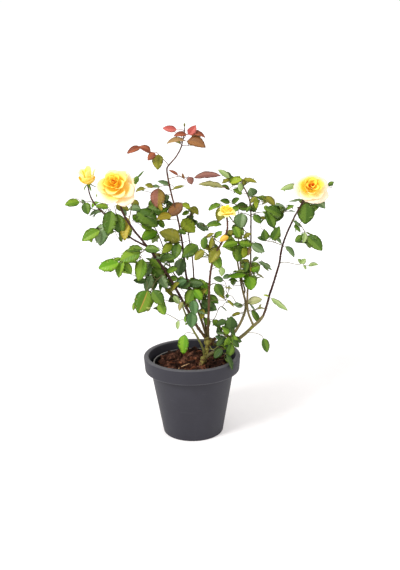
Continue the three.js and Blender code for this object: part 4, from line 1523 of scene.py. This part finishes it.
def hidden(place, margin=1.0):
    """Whether a leading leaf stands in front of a place."""
    away = np.array(seen(place)) - oval_middles
    along = (away * oval_ways).sum(axis=1) / oval_sizes[:, 0]
    across = (away[:, 0] * oval_ways[:, 1] - away[:, 1] * oval_ways[:, 0]) / oval_sizes[:, 1]
    return bool(((along ** 2 + across ** 2 < margin ** 2) & (oval_depths < place.y - 4 * MM)).any())


def roomy(middle):
    return all((middle - (foot + point) / 2).length > SPACE for _, _, foot, point, *_ in leaves)


def follow(leaf, tries=26):
    """One more leaf behind a leading one, on the same line of sight."""
    name, tint, foot, point, _, width, _ = leaf
    mass = masses[name]
    loose = LOOSE.get(name, 0.8 if name in RED_MASSES else 1.05)
    needed = 2 if name in RED_MASSES or name == "right_bloom_leaves" or tint in ("turning", "bronze") else 1
    for _ in range(tries):
        depth = mass.middle.y + mass.half.y * chance.uniform(-0.5, 0.98)
        middle = (foot + point) / 2
        if depth < middle.y + 12 * MM:
            continue
        shift = Mass.seen_scale(depth) / Mass.seen_scale(middle.y)
        centre = CAMERA_AT + (middle - CAMERA_AT) * shift
        ahead = Matrix.Rotation(chance.uniform(-0.9, 0.9), 3, (0, 1, 0)) @ (point - foot).normalized()
        ahead = (ahead + Vector(chance.normal(0, 0.35, 3))).normalized()
        half = (point - foot).length * chance.uniform(0.36, 0.48)
        ends = centre - ahead * half, centre + ahead * half
        behind = sum(hidden(end, loose + 0.1) for end in ends)
        if roomy(centre) and hidden(centre, loose) and behind >= needed:
            up = Vector((chance.normal(0, 0.5), chance.normal(0.2, 0.5), 1)).normalized()
            leaves.append((name, str(chance.choice(SHADES_BEHIND[tint])), *ends, up, width, None))
            return


def fill(mass, count):
    """Leaves tried at random through a mass, and kept where they don't close the view."""
    made = 0
    for _ in range(count * 60):
        if made >= count:
            return
        spot = Vector(chance.normal(0, 1, 3)).normalized() * chance.uniform(0.15, 0.92) ** 0.5
        middle = mass.middle + Vector(spot[i] * mass.half[i] * 0.94 for i in range(3))
        out = Vector((middle.x - BUSH_MIDDLE_X, middle.y, 0)).normalized()
        ahead = (out * 0.8 + Vector(chance.normal(0, 0.6, 3)) + Vector((0, 0, -0.25))).normalized()
        half = chance.uniform(13, 20) * MM
        ends = middle - ahead * half, middle + ahead * half
        if roomy(middle) and hidden(middle) and hidden(ends[0], 1.15) and hidden(ends[1], 1.15):
            up = Vector((chance.normal(0, 0.4), chance.normal(0.25, 0.4), 1)).normalized()
            tint = str(chance.choice(FILL_SHADES))
            leaves.append((mass.name, tint, *ends, up, chance.uniform(0.58, 0.72), None))
            made += 1


for _ in range(FOLLOW_ROUNDS):
    for leaf in leaves[:leading_count]:
        if leaf[0] in masses:
            follow(leaf)
followers = len(leaves) - leading_count
for mass in masses.values():
    if mass.name not in RED_MASSES:
        fill(mass, FILL_AT_BACK if mass.name.startswith("back") else FILL_INSIDE)
print("followers:", followers, "filled in:", len(leaves) - leading_count - followers)

# %% [markdown]
# ## Twigs that reach the leaves
#
# No leaf may float. Each one sends a stalk to the nearest wood, starting with the leaves that are
# closest to a cane, and every stalk counts as wood for the next, so that sprays branch as real ones
# do. Wood above a leaf is a poor place to hang from, so it counts as further off. A stalk leaves its
# parent along the cane's way, comes in line with the leaf's midrib, and is thicker the more leaves
# it carries.

# %% The branching rule
CLIMB_COST = 0.9
LEAF_STALK = 0.65 * MM
THICKEST_STALK = 1.5 * MM


class Wood:
    """All the places that a stalk may start from."""

    def __init__(self):
        self.places, self.ways, self.owners = [], [], []
        for line in limb_lines.values():
            self.add([place for place, _ in line], -1)

    def add(self, line, owner):
        for i, place in enumerate(line):
            way = line[min(i + 1, len(line) - 1)] - line[max(i - 1, 0)]
            self.places.append(tuple(place))
            self.ways.append(way.normalized() if way.length > 0 else Vector((0, 0, 1)))
            self.owners.append(owner)

    def nearest(self, foot):
        away = np.array(self.places) - np.array(foot)
        cost = np.linalg.norm(away, axis=1) + CLIMB_COST * np.clip(away[:, 2] + 2 * MM, 0, None)
        best = int(cost.argmin())
        return Vector(self.places[best]), self.ways[best], self.owners[best], float(cost[best])


def stalk_line(start, way, foot, ahead):
    """An arching line from the wood to a leaf's foot."""
    span = (foot - start).length
    out = (foot - start).normalized()
    first = start + (out * 0.75 + way * 0.5 + Vector((0, 0, 0.15))).normalized() * span * 0.38
    last = foot - ahead * min(span * 0.32, 14 * MM)
    line = []
    count = max(3, round(span / (4 * MM)))
    for i in range(count + 1):
        t = i / count
        led = start * (1 - t) ** 3 + first * 3 * t * (1 - t) ** 2
        line.append(led + last * 3 * t * t * (1 - t) + foot * t ** 3)
    return line


def grow_stalks():
    wood = Wood()
    order = sorted(leaves, key=lambda leaf: wood.nearest(leaf[2])[3])
    stalks = []
    for leaf in order:
        name, _, foot, point, *_ = leaf
        start, way, owner, _ = wood.nearest(foot)
        line = stalk_line(start, way, foot, (point - foot).normalized())
        stalks.append([line, owner, 1, name in RED_MASSES])
        wood.add(line[1:], len(stalks) - 1)
    for stalk in reversed(stalks):
        if stalk[1] >= 0:
            stalks[stalk[1]][2] += stalk[2]
    return stalks


stalks = grow_stalks()
spans = [sum((b - a).length for a, b in zip(line, line[1:])) for line, _, _, _ in stalks]
print("stalks:", len(stalks), "longest", round(max(spans) / MM), "mm, middling",
      round(float(np.median(spans)) / MM), "mm")

# %% Leaves and stalks as pieces
def piece_of(name):
    """The piece that a mass's leaves are joined into."""
    if name in RED_MASSES:
        return "young_leaves"
    if name.startswith("back"):
        return "back_leaves_spray"
    if name in masses:
        middle = masses[name].middle.x
        return "left_leaves" if middle < -0.07 else "right_leaves" if middle > 0.1 else "middle_leaves_spray"
    return "right_leaves" if name.startswith("right") else "middle_leaves_spray"


def join_leaves(title, chosen):
    finishes = []
    verts, faces, slots, uvs = [], [], [], []
    for _, tint, foot, point, way, width, arch in chosen:
        blade_a, blade_b, rib, under = LEAF_FINISHES[tint]
        # Which half takes the lighter shade is dealt by chance: partly the leaf's own variation, and partly
        # painted light and shade on the two halves of the fold.
        halves = (blade_a, blade_b) if tint == "turning" or chance.random() < 0.5 else (blade_b, blade_a)
        finish = {"left": halves[0], "right": halves[1], "rib": rib, "under": under}
        for material in finish.values():
            if material not in finishes:
                finishes.append(material)
        first = len(verts)
        verts += shaped_leaflet(foot, point, way, width, chance, arch).tolist()
        for face, kind in zip(LEAF_FACES, LEAF_KINDS):
            faces.append([first + k for k in face])
            slots.append(finishes.index(finish[kind]))
            uvs += [value for k in face for value in (LEAF_POINTS[k][0], LEAF_POINTS[k][1] / 2 + 0.5)]
    made = add_shape(title, verts, faces, *finishes)
    made.data.polygons.foreach_set("material_index", slots)
    made.data.uv_layers.new(name="UVMap").data.foreach_set("uv", uvs)
    stands_for = sorted({leaf[0] for leaf in chosen if leaf[0] in masses})
    return settle(made, "bronze_leaf" if title == "young_leaves" else "green_leaf", *stands_for)


groups = {}
for leaf in leaves:
    groups.setdefault(piece_of(leaf[0]), []).append(leaf)
leaf_pieces = [join_leaves(title, chosen) for title, chosen in groups.items()]
for piece in leaf_pieces:
    print(piece.name, len(piece.data.polygons), "faces,", len(piece.data.materials), "finishes")


def join_stalks(title, finish, red):
    verts, faces = [], []
    for line, _, carried, is_red in stalks:
        if is_red != red:
            continue
        foot_radius = min(THICKEST_STALK, LEAF_STALK + 0.17 * MM * math.sqrt(carried - 1) + 0.08 * MM)
        radii = np.linspace(foot_radius, LEAF_STALK, len(line)).tolist()
        more, sides = tube(list(zip(line, radii)), 5)
        faces += [[len(verts) + k for k in side] for side in sides]
        verts += more
    return settle(add_shape(title, verts, faces, finish), "young_bark")


RED_TWIG = bark("red_twig_bark", srgb(112, 62, 48), srgb(128, 66, 54), srgb(160, 104, 80), 0.3, 0.75)
stalk_pieces = [join_stalks("green_stalks", TWIG_BARK, False), join_stalks("red_stalks", RED_TWIG, True)]
print("faces in the stalks:", [len(piece.data.polygons) for piece in stalk_pieces])

# %% [markdown]
# ## Petals
#
# An open garden rose is a spiral of some forty petals. Each is a curved sheet that starts narrow at
# the calyx, widens, and rolls back at the lip. What changes from the heart to the guard petals is
# only by how much: the first stand upright and wrap round each other, the last lie open and roll
# right over. So one rule draws a petal from its turn, reach, height and roll, and a bloom is a list
# of rings, with those four numbers for the first and the last petal of each. Colour follows the same
# way out: orange-red in the heart, gold, lemon, then cream with a peach blush at the lip.

# The petals also glow a little, which is painted light for the light that passes through them; their feet are
# painted deeper, partly their own colour and partly painted shade; and the petals on one side of each bloom
# are painted creamier and more blushed, partly their own colour and partly painted light.
# %% One petal
PETAL_ROWS = 11
PETAL_COLUMNS = 11
PETAL_THICKNESS = 0.3 * MM
u_grid, v_grid = np.meshgrid(np.linspace(0, 1, PETAL_ROWS), np.linspace(-1, 1, PETAL_COLUMNS), indexing="ij")
PETAL_CORNERS = [i * PETAL_COLUMNS + j for i in range(PETAL_ROWS - 1) for j in range(PETAL_COLUMNS - 1)]
PETAL_FACES = [(k, k + 1, k + PETAL_COLUMNS + 1, k + PETAL_COLUMNS) for k in PETAL_CORNERS]


def petal_points(turn, reach, height, roll, spread, size, base, chance):
    """A petal's points about the bloom's axis. The size is the radius and depth of the bloom."""
    radius, depth = size
    side = np.abs(v_grid)
    u = u_grid * (1 - 0.16 * side ** 2.6) + 0.035 * (1 - side) ** 2 * u_grid ** 4
    closed = 1 - min(1, reach)
    rise = base + (height - base) * u ** (0.85 + 0.5 * reach)
    out = reach * (1 - (1 - np.clip(u, 0, 1)) ** (1.5 + 2.2 * closed))
    curl = np.clip((u - 0.66) / 0.34, 0, 1.2)
    out = out + roll * 0.13 * curl ** 1.6
    rise = rise - roll * 0.15 * curl ** 2.2
    width = np.interp(u_grid, [0, 0.25, 0.55, 0.8, 1], [0.3, 0.72, 1, 0.98, 0.72])

    def wave(strength, pace, power):
        high = chance.uniform(*strength)
        return high * np.sin(v_grid * chance.uniform(*pace) + chance.uniform(0, math.tau)) * u ** power

    ripple = wave((0.6, 1.4), (3, 6), 3)
    fine = wave((0.4, 1.2), (8, 13), 6)
    out = out * (1 - (0.2 * closed + 0.03) * v_grid ** 2) + (0.01 + 0.014 * reach) * (ripple + fine)
    rise = rise + 0.03 * ripple * side + 0.03 * fine + 0.05 * chance.normal() * u
    angle = turn + v_grid * spread * width * (1 + 0.1 * chance.normal())
    angle = angle + 0.25 * (out - reach) * chance.normal()
    petal = np.stack([out * radius * np.cos(angle), out * radius * np.sin(angle), rise * depth], axis=-1)
    return petal.reshape(-1, 3)


def bloom_frame(node, limb):
    """The bloom's middle, its axes (across, up and out of its face), radius and depth."""
    shape = merged_copy(node)
    stem = limb_lines[limb][-1][0]
    poles = [vert for vert in shape.verts if len(vert.link_faces) >= 10]
    heart = max(poles, key=lambda vert: (vert.co - stem).length)
    way = sum((face.normal * face.calc_area() for face in heart.link_faces), Vector()).normalized()
    radii = [((vert.co - heart.co) - way * (vert.co - heart.co).dot(way)).length for vert in shape.verts]
    radius = max(radii)
    widest = [vert.co for vert, r in zip(shape.verts, radii) if r > 0.98 * radius]
    drop = sum((heart.co - place).dot(way) for place in widest) / len(widest)
    depth = drop / 0.45
    middle = heart.co - way * depth / 2
    up = (Vector((0, 0, 1)) - way * way.z).normalized()
    shape.free()
    return middle, (up.cross(way), up, way), radius, depth


# %% Petal colours
def petal_finish(name, *stops, blush, blush_share):
    """Colours from the heart outwards, deeper at each petal's foot (partly painted shade), a blush on the
    lips that is stronger on one side of the bloom (partly painted light), fine lengthwise veins, and a faint
    glow that is painted light.
    """
    # The petals glow a little in their own colour: painted light, for the light that passes through them.
    silk = Finish(name, roughness=0.62, Specular_IOR_Level=0.18, Emission_Strength=0.12)
    age, along, across, mood = (silk.attribute(name) for name in ("age", "along", "across", "mood"))
    at = silk.place()
    cloud = silk.noise(at, 70.0, 3.0)
    fan = silk.node("ShaderNodeCombineXYZ", inputs={"X": across * 9, "Y": along * 1.2, "Z": mood * 40})
    vein = silk.noise(fan, 1.0, 2.0, 0.6)
    # Each petal is painted lighter towards its lip and deeper towards its foot: partly the petal's own
    # colour, and partly painted shade in the pockets between petals.
    color = silk.ramp(age + (cloud - 0.5) * 0.12 + (along - 0.75) * 0.3 + (mood - 0.5) * 0.14, *stops)
    color = silk.mix(silk.within(along, 0.8, 0, 0.3, 0.85), color, srgb(252, 234, 186), "MULTIPLY")
    lip = silk.within(along, 0.0, 1.0, 0.55, 1.0) * silk.within(age, 0.0, 1.0, 0.3, 0.9)
    # The blush is stronger on the petals of one side of the bloom: partly their own peach, and partly painted
    # light.
    color = silk.mix((lip * mood * blush_share).clamped(), color, blush)
    return silk.set(Base_Color=color, Emission_Color=color, Roughness=silk.within(cloud, 0.55, 0.72),
                    Normal=silk.bump(vein, 0.3 * MM, 0.25))


GOLDEN_SPREAD = 2.39996          # radians from each petal to the next
# Each ring: petals, then reach, height, roll and half spread in degrees, for its first and last petal.
RINGS = {
    "main": ((4, (0.05, 0.12), (0.26, 0.34), (0.0, 0.3), (85, 66)),
             (5, (0.2, 0.34), (0.38, 0.5), (0.3, 0.7), (60, 52)),
             (5, (0.4, 0.56), (0.52, 0.44), (1.0, 1.5), (52, 48)),
             (5, (0.6, 0.74), (0.34, 0.18), (1.3, 1.7), (50, 48)),
             (6, (0.78, 0.9), (0.06, -0.12), (1.0, 1.3), (46, 50))),
    "cup": ((3, (0.08, 0.17), (0.3, 0.36), (0.5, 0.9), (84, 66)),
            (3, (0.27, 0.36), (0.36, 0.42), (0.8, 1.0), (66, 60)),
            (5, (0.48, 0.56), (0.46, 0.5), (0.5, 0.8), (56, 50)),
            (5, (0.7, 0.8), (0.22, 0.06), (1.0, 1.3), (52, 48)),
            (5, (0.86, 0.94), (-0.04, -0.16), (0.8, 1.1), (50, 52))),
    "pompon": ((6, (0.1, 0.25), (0.3, 0.42), (0.2, 0.6), (70, 60)),
               (8, (0.3, 0.55), (0.44, 0.4), (0.8, 1.3), (50, 44)),
               (7, (0.6, 0.78), (0.34, 0.16), (1.2, 1.8), (46, 40)),
               (6, (0.8, 0.9), (0.06, -0.14), (1.3, 1.8), (44, 42))),
    "tall": ((4, (0.15, 0.32), (0.34, 0.46), (0.1, 0.4), (64, 54)),
             (5, (0.5, 0.8), (0.52, 0.42), (0.5, 0.9), (46, 44)),
             (5, (0.7, 0.76), (0.0, -0.08), (0.0, 0.1), (60, 58))),
}
LEMON, CREAM = srgb(252, 222, 88), srgb(252, 234, 156)
# Each bloom: its limb, its rings, its seed, its lie and its finish. The lie says, in radii, how far the
# heart sits up and across, how far the whole sits up and across, and its size across and up.
BLOOMS = {
    "main_bloom": ("left_cane", "main", 4, (0.36, -0.2, 0, 0.0, 1.06, 0.92), petal_finish(
        "petal_main", (0.0, srgb(230, 104, 38)), (0.05, srgb(248, 178, 52)), (0.1, srgb(252, 218, 76)),
        (0.42, LEMON), (0.74, CREAM), (0.95, srgb(254, 238, 210)),
        blush=srgb(253, 224, 190), blush_share=0.9)),
    "right_bloom": ("right_cane", "cup", 9, (0.26, 0.02, -0.13, 0.02, 1.16, 0.96), petal_finish(
        "petal_right", (0.0, srgb(240, 146, 46)), (0.04, srgb(249, 200, 60)), (0.09, srgb(252, 222, 84)),
        (0.48, srgb(253, 230, 100)), (0.6, srgb(252, 238, 170)), (0.84, srgb(254, 238, 206)),
        blush=srgb(252, 226, 204), blush_share=1.0)),
    "small_bloom": ("middle_cane", "pompon", 14, (0, 0, 0, 0, 1, 1), petal_finish(
        "petal_small", (0.0, srgb(247, 214, 62)), (0.4, srgb(250, 230, 88)), (0.75, srgb(252, 238, 120)),
        (1.0, srgb(253, 242, 150)), blush=srgb(252, 240, 170), blush_share=0.6)),
    "far_left_bloom": ("left_fork_cane", "tall", 21, (0, 0, -0.15, 0.2, 1.15, 1.15), petal_finish(
        "petal_far_left", (0.0, srgb(252, 226, 96)), (0.4, srgb(253, 240, 140)), (0.56, srgb(254, 244, 176)),
        (0.66, srgb(253, 238, 150)), (0.72, srgb(251, 214, 74)), (1.0, srgb(248, 200, 54)),
        blush=srgb(252, 240, 190), blush_share=0.4)),
}
bloom_frames = {name: bloom_frame(name, kind[0]) for name, kind in BLOOMS.items()}
for name, (middle, _, radius, depth) in bloom_frames.items():
    print(name, "at", tuple(round(v, 3) for v in middle),
          "radius", round(radius / MM), "depth", round(depth / MM))

# %% Open blooms
PETAL_FOOT = -0.46               # where the petals start, in depths of the bloom from its middle


def make_bloom(name, rings, seed, lie, finish):
    middle, axes, radius, depth = bloom_frames[name]
    heart_up, heart_across, whole_up, whole_across, wide, high = lie
    chance = np.random.default_rng(seed)
    verts, faces, ages, alongs, acrosses, side_tones_and_light = [], [], [], [], [], []
    turn = 0
    total = sum(ring[0] for ring in RINGS[rings])
    done = 0
    for count, *ranges in RINGS[rings]:
        for k in range(count):
            share = k / max(1, count - 1)
            reach, height, roll, spread = (first + (last - first) * share for first, last in ranges)
            turn += GOLDEN_SPREAD + chance.normal(0, 0.14)
            height = height + chance.normal(0, 0.02)
            low = max(0, -math.sin(turn)) * max(0, reach - 0.6)
            points = petal_points(turn, reach * (1 + 0.1 * low), height - 0.12 * low, roll,
                                  math.radians(spread), (radius, depth), PETAL_FOOT, chance)
            first = len(verts)
            age = done / (total - 1)
            up = heart_up * (1 - age) + whole_up
            across = heart_across * (1 - age) + whole_across
            centre = middle + (axes[1] * up + axes[0] * across) * radius
            verts += [centre + axes[0] * x * wide + axes[1] * y * high + axes[2] * z
                      for x, y, z in points.tolist()]
            faces += [[first + corner for corner in face] for face in PETAL_FACES]
            ages += [age] * len(points)
            alongs += u_grid.ravel().tolist()
            acrosses += v_grid.ravel().tolist()
            # A value for each petal, highest on one side of the bloom: it paints those petals creamier and
            # more blushed, partly their own colour and partly painted light, and it also shifts the veins.
            side_tones_and_light += [0.5 + 0.35 * math.cos(turn + 0.8) + chance.uniform(-0.15, 0.15)] * len(points)
            done += 1
    bloom = add_shape(name + "_petals", verts, faces, finish)
    for title, values in (("age", ages), ("along", alongs), ("across", acrosses), ("mood", side_tones_and_light)):
        bloom.data.attributes.new(title, "FLOAT", "POINT").data.foreach_set("value", values)
    skin = bloom.modifiers.new("skin", "SOLIDIFY")
    skin.thickness = PETAL_THICKNESS
    skin.offset = 0
    bake_shape(bloom)
    return settle(bloom, "petal", name)


bloom_pieces = {name: make_bloom(name, *kind) for name, (_, *kind) in BLOOMS.items()}
print("faces in the blooms:", {name: len(piece.data.polygons) for name, piece in bloom_pieces.items()})

# %% [markdown]
# ## Calyx, sepals and buds
#
# Under each bloom sits a green egg, the hip to be, and five narrow sepals that the bud has pushed
# down. A bud is the same the other way round: the sepals still clasp the rolled petals, and their
# long tips stand out beyond it. A sepal is a slim leaf, so the leaflet's mesh serves again.

# %% Calyxes and buds
HIP_OUTLINE = ((0, -1), (0.45, -0.92), (0.85, -0.5), (1, 0.05), (0.86, 0.6), (0.7, 0.85), (0, 0.9))
BUD_OUTLINE = ((0, -1), (0.6, -0.85), (0.95, -0.4), (1, 0), (0.82, 0.4), (0.48, 0.75), (0.14, 0.97), (0, 1))


TURNED_SIDES = 12
LONGEST_SEPAL = 25 * MM
BUD_FORWARD = 30 * MM            # the bud stands this much nearer to the viewer than its plain body


def turned_points(outline, at, axes, radius, half):
    """Points and faces of a small turned body: poles first and last, rings between."""
    side, across, way = axes
    verts = [at + way * outline[0][1] * half]
    for share, up in outline[1:-1]:
        verts += ring_points(at + way * up * half, side, across, share * radius, TURNED_SIDES)
    verts.append(at + way * outline[-1][1] * half)
    last = len(verts) - 1
    turns = [(k, (k + 1) % TURNED_SIDES) for k in range(TURNED_SIDES)]
    faces = [(0, 1 + ahead, 1 + here) for here, ahead in turns]
    for ring in range(len(outline) - 3):
        faces += band_faces(1 + ring * TURNED_SIDES, TURNED_SIDES)
    faces += [(last - TURNED_SIDES + here, last - TURNED_SIDES + ahead, last) for here, ahead in turns]
    return verts, faces


def green_parts(title, bodies, sepals, tint, *nodes):
    """A piece made of small green bodies and the sepals round them."""
    blade_a, blade_b, rib, under = LEAF_FINISHES[tint]
    verts, faces, slots = [], [], []
    for more, sides in bodies:
        faces += [[len(verts) + k for k in side] for side in sides]
        slots += [0] * len(sides)
        verts += more
    for foot, point, way, ratio in sepals:
        first = len(verts)
        verts += [Vector(place) for place in shaped_leaflet(foot, point, way, ratio, chance).tolist()]
        for face, kind in zip(LEAF_FACES, LEAF_KINDS):
            faces.append([first + k for k in face])
            slots.append({"left": 1, "right": 1, "rib": 2, "under": 3}[kind])
    made = add_shape(title, verts, faces, blade_b, blade_a, rib, under)
    made.data.uv_layers.new(name="UVMap")
    made.data.polygons.foreach_set("material_index", slots)
    return settle(made, "bud", *nodes)


def round_about(axes, angle):
    return axes[0] * math.cos(angle) + axes[1] * math.sin(angle)


def calyx_of(name):
    middle, axes, radius, depth = bloom_frames[name]
    _, _, _, (_, _, whole_up, whole_across, _, _), _ = BLOOMS[name]
    base = middle - axes[2] * depth * 0.5 + (axes[1] * whole_up + axes[0] * whole_across) * radius
    size = min(5.2 * MM, radius * 0.16)
    body = turned_points(HIP_OUTLINE, base - axes[2] * size * 0.5, axes, size, size * 1.25)
    sepals = []
    for k in range(5):
        out = round_about(axes, math.tau * k / 5 + 0.35)
        foot = base + out * size * 0.6 + axes[2] * size * 0.4
        length = min(LONGEST_SEPAL, radius * 0.5 + 7 * MM) * chance.uniform(0.85, 1.2)
        point = foot + (out * 0.75 - axes[2] * chance.uniform(0.25, 0.75)).normalized() * length
        sepals.append((foot, point, (axes[2] * 0.8 + out * 0.4).normalized(), 0.24))
    return green_parts(name + "_calyx", [body], sepals, "mid")


def make_bud(title, at, way, radius, half, tint, long_sepal, *nodes, stem=None):
    way = way.normalized()
    side = way.orthogonal().normalized()
    axes = (side, way.cross(side), way)
    body = turned_points(BUD_OUTLINE, at, axes, radius, half)
    hip = turned_points(HIP_OUTLINE, at - way * half * 1.05, axes, radius * 0.62, radius * 0.8)
    sepals = []
    for k in range(5):
        out = round_about(axes, math.tau * k / 5)
        foot = at - way * half * 0.75 + out * radius * 0.75
        point = at + way * half * chance.uniform(0.45, 0.85) + out * radius * chance.uniform(0.8, 1.1)
        sepals.append((foot, point, (out + way * 0.1).normalized(), 0.3))
    if long_sepal is not None:
        foot = at + way * half * 0.3
        sepals.append((foot, at + long_sepal, Vector((0, -0.8, 0.6)), 0.2))
    bodies = [body, hip]
    if stem is not None:
        under = at - way * half * 1.5
        bodies.append(tube([(stem + (under - stem) * i / 4, 1.2 * MM) for i in range(5)], 6))
    return green_parts(title, bodies, sepals, tint, *nodes)


calyx_pieces = [calyx_of(name) for name in BLOOMS]
bud_low, bud_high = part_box("bud")
bud_at = (bud_low + bud_high) / 2
bud_at = bud_at + (CAMERA_AT - bud_at).normalized() * BUD_FORWARD + Vector((2, 0, 1)) * MM
make_bud("bud_sepals", bud_at, Vector((0.35, -0.1, 1)), 6.6 * MM, 8 * MM, "dark",
         Vector((19, -6, 21)) * MM, "bud", stem=limb_lines["bud_stalk"][-1][0])
tip_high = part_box("crown_tip_leaves")[1]
tip = limb_lines["tall_cane"][-1][0]
tip_bud_at = Vector((tip.x, tip.y, tip_high.z - 7 * MM))
make_bud("crown_tip_bud", tip_bud_at, Vector((0, 0, 1)), 1.8 * MM, 4.5 * MM, "olive", None)
fork = at_height("left_fork_cane", 610 * MM)
side_bud_at = fork + Vector((12, -8, 14)) * MM
make_bud("side_bud", side_bud_at, Vector((-0.4, 0, 1)), 2.6 * MM, 5 * MM, "mid", None)
print("calyxes:", len(calyx_pieces), "buds: 3")
